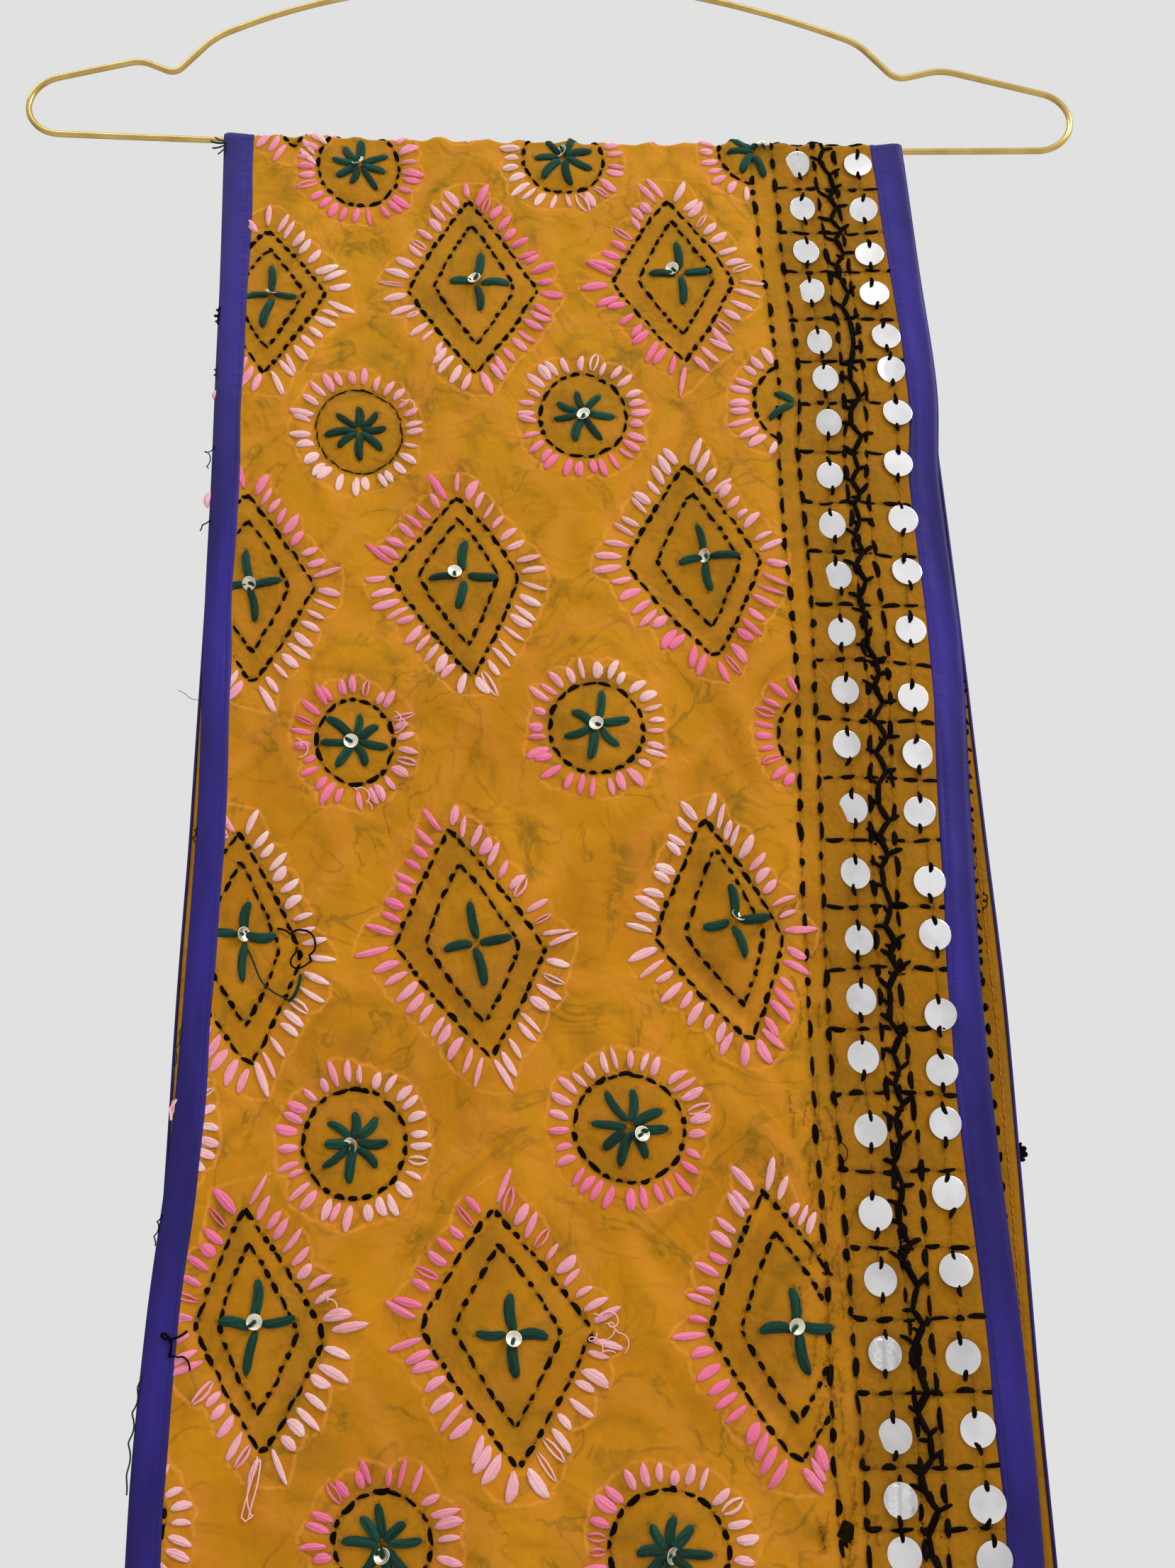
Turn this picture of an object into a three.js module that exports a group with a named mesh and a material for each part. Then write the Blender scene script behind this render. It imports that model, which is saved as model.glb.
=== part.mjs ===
// Mirror work scarf folded over the bottom bar of a bent wire hanger.
// Millimetres, +Z up, +X to the viewer's right, -Y towards the viewer.
// The origin is the inside of the hook's crown, where a rail or wall hook holds the hanger.

import * as THREE from 'three';

// Hanger: one round wire, bent into a flat frame, with a hook on a stem.
const WIRE_RADIUS = 1.5;
const WIRE_SIDES = 8;
const HANGER_TILT = THREE.MathUtils.degToRad(2.25); // the scarf hangs off centre, so the right side is lower
const BAR_DROP = 150; // from the hold point to the bar's two ends
const BAR_HALF_LENGTH = 200.5;
const BAR_BOW = 3.2; // the scarf's weight bows the bar
const BAR_STEPS = 12;
const END_BEND_RADIUS = 14.65;
const END_BEND_SWEEP = THREE.MathUtils.degToRad(165.7);
const ARCH_TOP = 84; // above the bar's ends
// Use has bent the two arms a little out of true. A corner's cut is how far from it the curve starts, and
// archAcross is where the arch's curve is steered from, at the height of its top.
const LEFT_ARM = {
  corners: [
    { name: 'hump', across: 171, up: 38.3, cut: 5 },
    { name: 'notch', across: 156, up: 31.6, cut: 4.5 },
    { name: 'shoulder', across: 141.6, up: 50.6, cut: 6 },
  ],
  archAcross: 82,
};
const RIGHT_ARM = {
  corners: [
    { name: 'hump', across: 163, up: 40.2, cut: 6 },
    { name: 'notch', across: 144.4, up: 34.7, cut: 5 },
    { name: 'shoulder', across: 128.6, up: 53.3, cut: 6 },
  ],
  archAcross: 57,
};
const HOOK_RADIUS = 20; // to the wire's centre line
const HOOK_START = THREE.MathUtils.degToRad(-50);
const HOOK_END = THREE.MathUtils.degToRad(195);
const STEM_BEND_DROP = 56; // the stem is straight below this
const CURVE_STEPS = 6;

// Scarf: one length of cloth with a ribbon bound over both long edges.
const FRONT_FALL = 905;
const BACK_FALL = 905;
const CLOTH_THICKNESS = 1;
const HEM_DEPTH = 8;
const HEM_THICKNESS = 2; // turned twice at the two short ends
const RIBBON_WIDTH = 11.5;
const RIBBON_THICKNESS = 1;
const SEAM_GAP = 0.3;
const WRAP_RADIUS = WIRE_RADIUS + SEAM_GAP + CLOTH_THICKNESS / 2; // bar's centre to the cloth's middle
const WRAP_LENGTH = Math.PI * WRAP_RADIUS;
const SCARF_LENGTH = FRONT_FALL + WRAP_LENGTH + BACK_FALL;
const PANEL_COLUMNS = 20;
const FALL_ROWS = 26;
const WRAP_ROWS = 6;

// The two long edges, measured from the middle of the bar, at each drop below it.
const FRONT_EDGES = [
  { drop: 0, left: -130.9, right: 144.1 },
  { drop: 60, left: -128.3, right: 146.2 },
  { drop: 115, left: -126.5, right: 149 },
  { drop: 155, left: -125.7, right: 146.8 },
  { drop: 225, left: -124.9, right: 149.4 },
  { drop: 295, left: -123, right: 147.3 },
  { drop: 355, left: -123.8, right: 145.4 },
  { drop: 415, left: -125.4, right: 146.6 },
  { drop: 470, left: -129.3, right: 148.5 },
  { drop: 525, left: -131.3, right: 149.4 },
  { drop: 640, left: -129, right: 147.5 },
  { drop: 780, left: -130.5, right: 145.5 },
  { drop: 905, left: -129, right: 147.5 },
];
const BACK_EDGES = [
  { drop: 0, left: -130.9, right: 144.1 },
  { drop: 90, left: -129.8, right: 146.8 },
  { drop: 155, left: -128.8, right: 149.3 },
  { drop: 225, left: -128.3, right: 151.5 },
  { drop: 295, left: -128.4, right: 153.5 },
  { drop: 355, left: -129.4, right: 155.3 },
  { drop: 415, left: -129.8, right: 155.2 },
  { drop: 485, left: -130.5, right: 154.7 },
  { drop: 545, left: -131.5, right: 155.2 },
  { drop: 700, left: -134, right: 153.5 },
  { drop: 905, left: -131.5, right: 151.5 },
];

// Soft flutes down each fall: waves across the cloth, phase at the bar, drift of the phase to the hem.
const FRONT_FLUTES = [
  { waves: 2.6, phase: 0.1, drift: 0.35, height: 1.6 },
  { waves: 5.3, phase: 0.55, drift: -0.5, height: 0.9 },
];
const BACK_FLUTES = [
  { waves: 2.2, phase: 0.6, drift: -0.3, height: 2 },
  { waves: 4.6, phase: 0.2, drift: 0.6, height: 1.1 },
];
const FLUTE_START = 180; // the flutes reach full height this far below the bar
const SWELL_START = 150;
const FRONT_SWELL = 2.7; // how far each fall hangs out from the bar's side
const BACK_SWELL = 5;

const BRASS = new THREE.MeshStandardMaterial({ color: 0xb98a3c, roughness: 0.28, metalness: 1 });
const CLOTH = new THREE.MeshStandardMaterial({ color: 0xc4831c, roughness: 0.85, metalness: 0 });
const RIBBON = new THREE.MeshStandardMaterial({ color: 0x38268c, roughness: 0.4, metalness: 0 });

// Closes a row of equal rings into one skin. Each ring runs counter-clockwise about the way of travel,
// and each end is closed by joining point i to point count - 1 - i.
function loft(rings) {
  const count = rings[0].length;
  const last = (rings.length - 1) * count;
  const faces = [];
  const addQuad = (a, b, c, d) => faces.push(a, b, c, a, c, d);
  for (let start = 0; start < last; start += count) {
    for (let i = 0; i < count; i += 1) {
      const next = (i + 1) % count;
      addQuad(start + i, start + next, start + count + next, start + count + i);
    }
  }
  for (let i = 0; i < count / 2 - 1; i += 1) {
    const across = count - 1 - i;
    addQuad(i, across, across - 1, i + 1);
    addQuad(last + i, last + i + 1, last + across - 1, last + across);
  }
  const positions = rings.flat().flatMap((point) => point.toArray());
  const geometry = new THREE.BufferGeometry();
  geometry.setAttribute('position', new THREE.Float32BufferAttribute(positions, 3));
  geometry.setIndex(faces);
  geometry.computeVertexNormals();
  return geometry;
}

// A round wire along points of the hanger's flat frame, each an (across, up) pair.
function wire(route) {
  const depthWay = new THREE.Vector3(0, 1, 0);
  const rings = route.map((point, index) => {
    const before = route[Math.max(index - 1, 0)];
    const after = route[Math.min(index + 1, route.length - 1)];
    const travel = new THREE.Vector3(after.x - before.x, 0, after.y - before.y).normalize();
    const sideWay = new THREE.Vector3().crossVectors(depthWay, travel);
    return Array.from({ length: WIRE_SIDES }, (_, side) => {
      const turn = ((side + 0.5) / WIRE_SIDES) * 2 * Math.PI;
      return new THREE.Vector3(point.x, 0, point.y)
        .addScaledVector(sideWay, WIRE_RADIUS * Math.cos(turn))
        .addScaledVector(depthWay, WIRE_RADIUS * Math.sin(turn));
    });
  });
  return loft(rings);
}

// Height of the bar's centre line above its ends; the bow is a parabola.
function barHeight(across) {
  return BAR_BOW * ((across / BAR_HALF_LENGTH) ** 2 - 1);
}

function barRoute() {
  return Array.from({ length: BAR_STEPS + 1 }, (_, step) => {
    const across = THREE.MathUtils.lerp(-BAR_HALF_LENGTH, BAR_HALF_LENGTH, step / BAR_STEPS);
    return new THREE.Vector2(across, barHeight(across) - BAR_DROP);
  });
}

// An arm, drawn as the right one: from the bar's end round the end bend, over the hump, down to the notch
// and up the arch.
function armRoute({ corners: bends, archAcross }) {
  const outline = new THREE.Path();
  const bendStart = -Math.PI / 2 + SEAM_GAP / END_BEND_RADIUS;
  outline.absarc(
    BAR_HALF_LENGTH, END_BEND_RADIUS, END_BEND_RADIUS, bendStart, END_BEND_SWEEP - Math.PI / 2, false,
  );
  const corners = bends.map(({ across, up }) => new THREE.Vector2(across, up));
  bends.forEach(({ cut }, index) => {
    const corner = corners[index];
    const from = index > 0 ? corners[index - 1] : outline.currentPoint;
    const to = corners[index + 1] ?? new THREE.Vector2(archAcross, ARCH_TOP);
    const entry = corner.clone().add(from.clone().sub(corner).setLength(cut));
    const exit = corner.clone().add(to.clone().sub(corner).setLength(cut));
    outline.lineTo(entry.x, entry.y);
    outline.quadraticCurveTo(corner.x, corner.y, exit.x, exit.y);
  });
  outline.quadraticCurveTo(archAcross, ARCH_TOP, SEAM_GAP / 2, ARCH_TOP);
  const route = outline.getPoints(CURVE_STEPS).map(({ x, y }) => new THREE.Vector2(x, y - BAR_DROP));
  return route.filter((point, index) => index === 0 || point.distanceTo(route[index - 1]) > SEAM_GAP);
}

// The stem stands on the arch, bends aside and runs round the hook to its open tip.
function hookRoute() {
  const centreUp = WIRE_RADIUS - HOOK_RADIUS;
  const stemFoot = ARCH_TOP - BAR_DROP + WIRE_RADIUS + SEAM_GAP;
  const start = new THREE.Vector2(Math.cos(HOOK_START), Math.sin(HOOK_START)).multiplyScalar(HOOK_RADIUS);
  start.y += centreUp;
  const lead = new THREE.Vector2(-Math.sin(HOOK_START), Math.cos(HOOK_START)).multiplyScalar(-8);
  const outline = new THREE.Path();
  outline.moveTo(0, stemFoot);
  outline.lineTo(0, -STEM_BEND_DROP);
  outline.bezierCurveTo(0, 10 - STEM_BEND_DROP, start.x + lead.x, start.y + lead.y, start.x, start.y);
  outline.absarc(0, centreUp, HOOK_RADIUS, HOOK_START, HOOK_END, false);
  const route = outline.getPoints(CURVE_STEPS + 4);
  return route.filter((point, index) => index === 0 || point.distanceTo(route[index - 1]) > SEAM_GAP);
}

function mirrored(route) {
  return route.map(({ x, y }) => new THREE.Vector2(-x, y)).reverse();
}

// Reads one column of a table of edges at any drop, as a smooth curve through its rows.
function edgeReader(table, column) {
  const drops = table.map(({ drop }) => drop);
  const values = table.map((row) => row[column]);
  const curve = new THREE.CubicInterpolant(drops, values, 1);
  return (drop) => curve.evaluate(drop)[0];
}

function makeFall(edges, flutes, swell, length) {
  return { left: edgeReader(edges, 'left'), right: edgeReader(edges, 'right'), flutes, swell, length };
}

const frontFall = makeFall(FRONT_EDGES, FRONT_FLUTES, FRONT_SWELL, FRONT_FALL);
const backFall = makeFall(BACK_EDGES, BACK_FLUTES, BACK_SWELL, BACK_FALL);

// How far a fall's cloth lies from the plane of the hanger.
function fallDepth(fall, drop, share) {
  const swell = fall.swell * THREE.MathUtils.smoothstep(drop, 0, SWELL_START);
  const rise = THREE.MathUtils.smoothstep(drop, 0, FLUTE_START);
  const flutes = fall.flutes.reduce((sum, { waves, phase, drift, height }) => {
    const turns = waves * share + phase + (drift * drop) / fall.length;
    return sum + height * rise * Math.sin(2 * Math.PI * turns);
  }, 0);
  return WRAP_RADIUS + swell + flutes;
}

// The tilted, bowed bar's centre line, from its own middle.
function tiltedBar(across) {
  return barHeight(across) + BAR_BOW - across * Math.tan(HANGER_TILT);
}

// Where a length along the cloth lies: up the front fall, over the bar, down the back fall.
function stretchAt(along) {
  const wrapped = along - FRONT_FALL;
  if (wrapped < 0) return { fall: frontFall, drop: -wrapped, turn: 0, depthSign: -1 };
  if (wrapped < WRAP_LENGTH) return { fall: frontFall, drop: 0, turn: wrapped / WRAP_RADIUS, depthSign: -1 };
  return { fall: backFall, drop: wrapped - WRAP_LENGTH, turn: Math.PI, depthSign: 1 };
}

// The middle of the cloth's thickness, from a length along it and an inset in from its left or right edge.
function clothMiddle(along, column) {
  const { fall, drop, turn, depthSign } = stretchAt(along);
  const left = fall.left(drop);
  const right = fall.right(drop);
  const x = THREE.MathUtils.lerp(left + column.leftInset, right - column.rightInset, column.share);
  const share = (x - left) / (right - left);
  const barX = THREE.MathUtils.lerp(fall.left(0), fall.right(0), share);
  const onWrap = turn > 0 && turn < Math.PI;
  const y = onWrap ? -WRAP_RADIUS * Math.cos(turn) : depthSign * fallDepth(fall, drop, share);
  const z = tiltedBar(barX) - drop + (onWrap ? WRAP_RADIUS * Math.sin(turn) : 0);
  return new THREE.Vector3(x, y, z);
}

// A point of the cloth moved out from its middle, and past its edge, by given amounts.
function clothPoint(along, column, out, beyond = 0) {
  const step = 0.05;
  const low = Math.max(along - step, 0);
  const high = Math.min(along + step, SCARF_LENGTH);
  const alongWay = clothMiddle(high, column).sub(clothMiddle(low, column)).normalize();
  const leftward = { ...column, leftInset: column.leftInset - step, rightInset: column.rightInset + step };
  const acrossWay = clothMiddle(along, column).sub(clothMiddle(along, leftward)).normalize();
  const outWay = new THREE.Vector3().crossVectors(acrossWay, alongWay).normalize();
  return clothMiddle(along, column).addScaledVector(outWay, out).addScaledVector(acrossWay, beyond);
}

// Columns of points across the cloth. The outer three at each edge lie under the ribbon.
const ribbonInsets = [0, RIBBON_WIDTH / 2, RIBBON_WIDTH];
const leftColumns = ribbonInsets.map((inset) => ({ leftInset: inset, rightInset: 0, share: 0 }));
const rightColumns = ribbonInsets.map((inset) => ({ leftInset: 0, rightInset: inset, share: 1 }));
const middleColumns = Array.from({ length: PANEL_COLUMNS - 1 }, (_, index) => (
  { leftInset: RIBBON_WIDTH, rightInset: RIBBON_WIDTH, share: (index + 1) / PANEL_COLUMNS }
));
const panelColumns = [...leftColumns, ...middleColumns, ...rightColumns.toReversed()];

function panel(rows) {
  return loft(rows.map(({ along, thickness }) => {
    const face = CLOTH_THICKNESS / 2;
    const outer = panelColumns.map((column) => clothPoint(along, column, face));
    const inner = panelColumns.map((column) => clothPoint(along, column, face - thickness));
    return [...outer, ...inner.reverse()];
  }));
}

// The ribbon lies on the cloth's face and turns over its edge, so its section is an L.
function ribbon(rows, columns, side) {
  const bottom = CLOTH_THICKNESS / 2 + SEAM_GAP;
  const top = bottom + RIBBON_THICKNESS;
  const legInner = side * SEAM_GAP;
  const legOuter = side * (SEAM_GAP + RIBBON_THICKNESS);
  const [edge, middle, inset] = columns;
  return loft(rows.map(({ along }) => {
    const section = [
      clothPoint(along, inset, top),
      clothPoint(along, middle, top),
      clothPoint(along, edge, top, legOuter),
      clothPoint(along, edge, -CLOTH_THICKNESS / 2, legOuter),
      clothPoint(along, edge, -CLOTH_THICKNESS / 2, legInner),
      clothPoint(along, edge, bottom, legInner),
      clothPoint(along, middle, bottom),
      clothPoint(along, inset, bottom),
    ];
    return side > 0 ? section : section.reverse();
  }));
}

// Rows along one stretch, from its low end to its high end, with the hem's rows where it has one.
function stretchRows(start, end, count) {
  return Array.from({ length: count + 1 }, (_, row) => (
    { along: THREE.MathUtils.lerp(start, end, row / count), thickness: CLOTH_THICKNESS }
  ));
}

function hemRows(end, inward) {
  return [
    { along: end, thickness: HEM_THICKNESS },
    { along: end + inward * HEM_DEPTH, thickness: HEM_THICKNESS },
    { along: end + inward * (HEM_DEPTH + SEAM_GAP), thickness: CLOTH_THICKNESS },
  ];
}

const plainLength = FRONT_FALL / FALL_ROWS; // the first plain row stands this far above a hem
const wrapStart = FRONT_FALL;
const wrapEnd = FRONT_FALL + WRAP_LENGTH;
const stretches = {
  front_fall: [
    ...hemRows(0, 1),
    ...stretchRows(plainLength, wrapStart - SEAM_GAP, FALL_ROWS - 1),
  ],
  over_bar: stretchRows(wrapStart, wrapEnd, WRAP_ROWS),
  back_fall: [
    ...stretchRows(wrapEnd + SEAM_GAP, SCARF_LENGTH - plainLength, FALL_ROWS - 1),
    ...hemRows(SCARF_LENGTH, -1).reverse(),
  ],
};

function addMesh(parent, name, geometry, material) {
  const mesh = new THREE.Mesh(geometry, material);
  mesh.name = name;
  parent.add(mesh);
}

function makeHanger() {
  const hanger = new THREE.Group();
  addMesh(hanger, 'hanger_bar', wire(barRoute()), BRASS);
  addMesh(hanger, 'hanger_arm_right', wire(armRoute(RIGHT_ARM)), BRASS);
  addMesh(hanger, 'hanger_arm_left', wire(mirrored(armRoute(LEFT_ARM))), BRASS);
  addMesh(hanger, 'hanger_hook', wire(hookRoute()), BRASS);
  hanger.rotation.y = HANGER_TILT;
  return hanger;
}

function makeScarf() {
  const scarf = new THREE.Group();
  Object.entries(stretches).forEach(([stretch, rows]) => {
    addMesh(scarf, `scarf_${stretch}`, panel(rows), CLOTH);
    addMesh(scarf, `ribbon_left_${stretch}`, ribbon(rows, leftColumns, -1), RIBBON);
    addMesh(scarf, `ribbon_right_${stretch}`, ribbon(rows, rightColumns, 1), RIBBON);
  });
  const middleDrop = BAR_DROP + BAR_BOW;
  scarf.position.set(-middleDrop * Math.sin(HANGER_TILT), 0, -middleDrop * Math.cos(HANGER_TILT));
  return scarf;
}

const part = new THREE.Group();
part.add(makeHanger(), makeScarf());

export default part;
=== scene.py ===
import math
import random

import bpy
import numpy as np
from mathutils import Matrix, Vector


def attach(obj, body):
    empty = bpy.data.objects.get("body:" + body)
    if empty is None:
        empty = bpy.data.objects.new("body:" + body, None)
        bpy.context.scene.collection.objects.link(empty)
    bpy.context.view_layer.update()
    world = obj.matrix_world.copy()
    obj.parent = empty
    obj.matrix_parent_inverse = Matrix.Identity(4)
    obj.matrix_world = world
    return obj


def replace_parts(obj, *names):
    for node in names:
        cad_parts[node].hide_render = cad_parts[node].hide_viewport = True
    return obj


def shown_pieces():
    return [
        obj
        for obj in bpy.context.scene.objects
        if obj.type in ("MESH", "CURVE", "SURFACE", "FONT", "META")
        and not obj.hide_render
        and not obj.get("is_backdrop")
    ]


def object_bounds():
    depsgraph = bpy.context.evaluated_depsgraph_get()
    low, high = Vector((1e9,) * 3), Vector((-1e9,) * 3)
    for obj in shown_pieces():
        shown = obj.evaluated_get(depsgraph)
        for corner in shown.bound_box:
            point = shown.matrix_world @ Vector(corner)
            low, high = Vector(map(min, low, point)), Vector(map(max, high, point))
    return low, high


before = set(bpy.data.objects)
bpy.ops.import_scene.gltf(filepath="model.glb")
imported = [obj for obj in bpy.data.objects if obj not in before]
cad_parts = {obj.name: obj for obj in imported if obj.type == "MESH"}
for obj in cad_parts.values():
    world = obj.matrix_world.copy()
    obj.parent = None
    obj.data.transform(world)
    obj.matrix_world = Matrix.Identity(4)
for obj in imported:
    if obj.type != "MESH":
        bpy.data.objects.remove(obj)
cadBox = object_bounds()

mm = 0.001  # sizes are in millimetres, also those on the flat cloth
upright = math.pi / 2
dice = random.Random(11)
print("frame loaded:", len(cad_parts), "nodes")

hanger = {
    "wireRadius": 1.3,
    "tilt": math.radians(2.25),  # right side lower
    "barDrop": 150.0,
    "barHalf": 200.5,
    "barBow": 3.2,
    "bendRadius": 14.65,
    "bendSweep": math.radians(165.7),
    "rightCorners": [(163, 40.2, 6), (144.4, 34.7, 5), (128.6, 53.3, 6)],  # across, up, cut
    "rightArch": (57, 84),
    "leftCorners": [(171, 38.3, 5), (156, 31.6, 4.5), (141.6, 50.6, 6)],
    "leftArch": (82, 84),
    "hookRadius": 20.0,
    "hookStart": math.radians(-50),
    "hookEnd": math.radians(195),
    "stemBendDrop": 56.0,
    "stepsPerCurve": 14,
}
middleDrop = hanger["barDrop"] + hanger["barBow"]
barMiddle = np.array([-middleDrop * math.sin(hanger["tilt"]), 0.0, -middleDrop * math.cos(hanger["tilt"])])

scarf = {
    "width": 280.0,  # as it hangs over the bar
    "cut": (0.295, 1.82),  # metres, flat
    "fall": 905.0,
    "wrapRadius": 2.3,
    "thickness": 0.5,
    "ribbonWidth": 10.4,
    "fluteStart": 180.0,
    "swellStart": 150.0,
    "swell": (2.7, 5.0),  # front, back
    "flutes": (
        [(2.6, 0.1, 0.35, 1.6), (5.3, 0.55, -0.5, 0.9)],  # waves, phase, drift, height
        [(2.2, 0.6, -0.3, 2.0), (4.6, 0.2, 0.6, 1.1)],
    ),
    "hem": (6.8, 0.4),  # depth of the turned hem, and how far it stands up
}
wrapLength = math.pi * scarf["wrapRadius"]
scarfLength = 2 * scarf["fall"] + wrapLength
barAlong = scarfLength / 2
clothSkin = scarf["thickness"] / 2  # from the cloth's middle to its face
frontEdges = {
    "drop": [0, 60, 115, 155, 225, 295, 355, 415, 470, 525, 640, 780, 905],
    "left": [-130.9, -128.9, -127.3, -126.4, -125.6, -123.7, -124.5, -126.2, -130.2, -132, -129.6, -130.8,
             -129.3],
    "right": [144.1, 146.6, 149.5, 147.4, 149.9, 147.8, 146, 147.3, 149.2, 150, 148, 146, 147.8],
}
backEdges = {
    "drop": [0, 90, 155, 225, 295, 355, 415, 485, 545, 700, 905],
    "left": [-130.9, -130.9, -130.2, -129.7, -129.8, -130.9, -131.3, -132, -133, -134.8, -132.2],
    "right": [144.1, 148, 150.8, 153, 155, 156.8, 156.7, 156.2, 156.6, 154.6, 152.3],
}


def readTable(table, column, at):
    # smooth curve through a table's rows
    x = np.array(table["drop"], float)
    y = np.array(table[column], float)
    slope = np.gradient(y, x)
    slope[1:-1] = (y[2:] - y[:-2]) / (x[2:] - x[:-2])
    at = np.clip(at, x[0], x[-1])
    row = np.clip(np.searchsorted(x, at, side="right") - 1, 0, len(x) - 2)
    step = x[row + 1] - x[row]
    t = (at - x[row]) / step
    return (
        (2 * t**3 - 3 * t**2 + 1) * y[row]
        + (t**3 - 2 * t**2 + t) * step * slope[row]
        + (3 * t**2 - 2 * t**3) * y[row + 1]
        + (t**3 - t**2) * step * slope[row + 1]
    )


def ramp(value, low, high):
    t = np.clip((np.asarray(value, float) - low) / (high - low), 0, 1)
    return t * t * (3 - 2 * t)


def bell(value, width):
    return np.exp(-((np.asarray(value, float) / width) ** 2))


def wayOf(turn):
    return np.array([math.cos(turn), math.sin(turn)])


def turnOf(way):
    return math.atan2(way[1], way[0])


def softNoise(a, v, scale, seed, stretch=1.0):
    # a smooth random field from about -1 to 1, with features about scale millimetres across
    pick = np.random.default_rng(seed)
    total = np.zeros(np.broadcast(a, v).shape)
    for _ in range(9):
        turn = pick.uniform(0, 2 * math.pi)
        pace = pick.uniform(0.6, 1.7) * math.pi / scale
        total += np.sin(pace * (a * math.cos(turn) + v * math.sin(turn) / stretch) + pick.uniform(0, 6.28))
    return total / 3.4


def clothMiddle(a, v):
    # a is across from the left edge, v is along from the front hem, over the bar, to the back hem
    a, v = np.broadcast_arrays(np.asarray(a, float), np.asarray(v, float))
    share = a / scarf["width"]
    frontDrop = scarf["fall"] - v
    backDrop = v - scarf["fall"] - wrapLength
    onBack = v > scarf["fall"] + wrapLength / 2
    onWrap = (frontDrop < 0) & (backDrop < 0)
    drop = np.clip(np.where(onBack, backDrop, frontDrop), 0, None)
    left, right = (
        np.where(onBack, readTable(backEdges, side, drop), readTable(frontEdges, side, drop))
        for side in ("left", "right")
    )
    x = left + (right - left) * share
    barX = frontEdges["left"][0] + (frontEdges["right"][0] - frontEdges["left"][0]) * share
    depth = np.zeros(a.shape)
    for side, flutes in enumerate(scarf["flutes"]):
        here = scarf["swell"][side] * ramp(drop, 0, scarf["swellStart"])
        for waves, phase, drift, height in flutes:
            turns = waves * share + phase + drift * drop / scarf["fall"]
            here = here + height * ramp(drop, 0, scarf["fluteStart"]) * np.sin(2 * math.pi * turns)
        depth = np.where(onBack == bool(side), here, depth)
    turn = np.clip(-frontDrop / scarf["wrapRadius"], 0, math.pi)
    y = np.where(onBack, 1, -1) * (scarf["wrapRadius"] + depth)
    y = np.where(onWrap, -scarf["wrapRadius"] * np.cos(turn), y)
    bar = hanger["barBow"] * (barX / hanger["barHalf"]) ** 2 - barX * math.tan(hanger["tilt"])
    z = bar - drop + np.where(onWrap, scarf["wrapRadius"] * np.sin(turn), 0)
    return np.stack([x, y, z], -1) + barMiddle


# the motifs that show on the front fall: place of the centre, reach of each corner, and how pale the floss
# is on the whole and towards which side, in degrees from the right
diamondColumns = ("across", "drop", "leanUp", "up", "leanDown", "down", "left", "right", "sideDrop", "pale",
                  "paleWay", "skew", "sequinX", "sequinY")
frontDiamonds = [
    (19.8, 77.6, -2, 32, -2.4, 36.4, 24, 22, -1.7, 0.6, 0, -3, 0.5, 0),
    (102.8, 68.7, -2.7, 40.2, -2.5, 42.6, 28.3, 23.9, 3.3, 0.36, 200, -2, -1, 0.6),
    (184.5, 63, -3, 37, -1.1, 40.2, 27.6, 21.4, 3.4, 0.36, 30, -3, -3, 2),
    (15.4, 205.5, -2.9, 38.5, 2, 39.6, 24, 24.3, -0.4, 0.38, 300, 6, 0, 0),
    (95.6, 199.5, -1.6, 33.6, 3.5, 40.8, 27.8, 21.7, -1.3, 0.5, 310, 2, -2.7, 1),
    (187.9, 189, -5.7, 40.1, 1.4, 40.6, 30.4, 20.9, 2.1, 0.42, 100, -1, 0.3, 0.2),
    (17.9, 340.2, -3.8, 37.8, 5.3, 45, 25, 21.7, 6.2, 0.6, 20, 3, 0, 0.3),
    (102, 340, -11.5, 41.3, 5.4, 40.3, 29.6, 24.5, 0.8, 0.45, 330, 6, None, None),
    (194.1, 330.3, -10.9, 38.7, 4.6, 42.4, 28.6, 17, 5.8, 0.56, 140, 8, 1, 1.5),
    (33.4, 469.2, -8, 37, 5.7, 39.4, 18.9, 23.1, 1.8, 0.4, 315, 3, 0, 1),
    (116.5, 469.5, -7.5, 39.8, 2.7, 40.7, 29.6, 26.2, -2.1, 0.4, 315, 5, 0.5, -1.5),
    (208, 465.8, -8.6, 43.8, -1.6, 41.4, 28, 24.2, 0.9, 0.28, 60, 6, 0, 0.5),
]
roundColumns = ("across", "drop", "radius", "tall", "pale", "paleWay", "petals", "skew", "sequinX",
                "sequinY", "ring")
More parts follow.
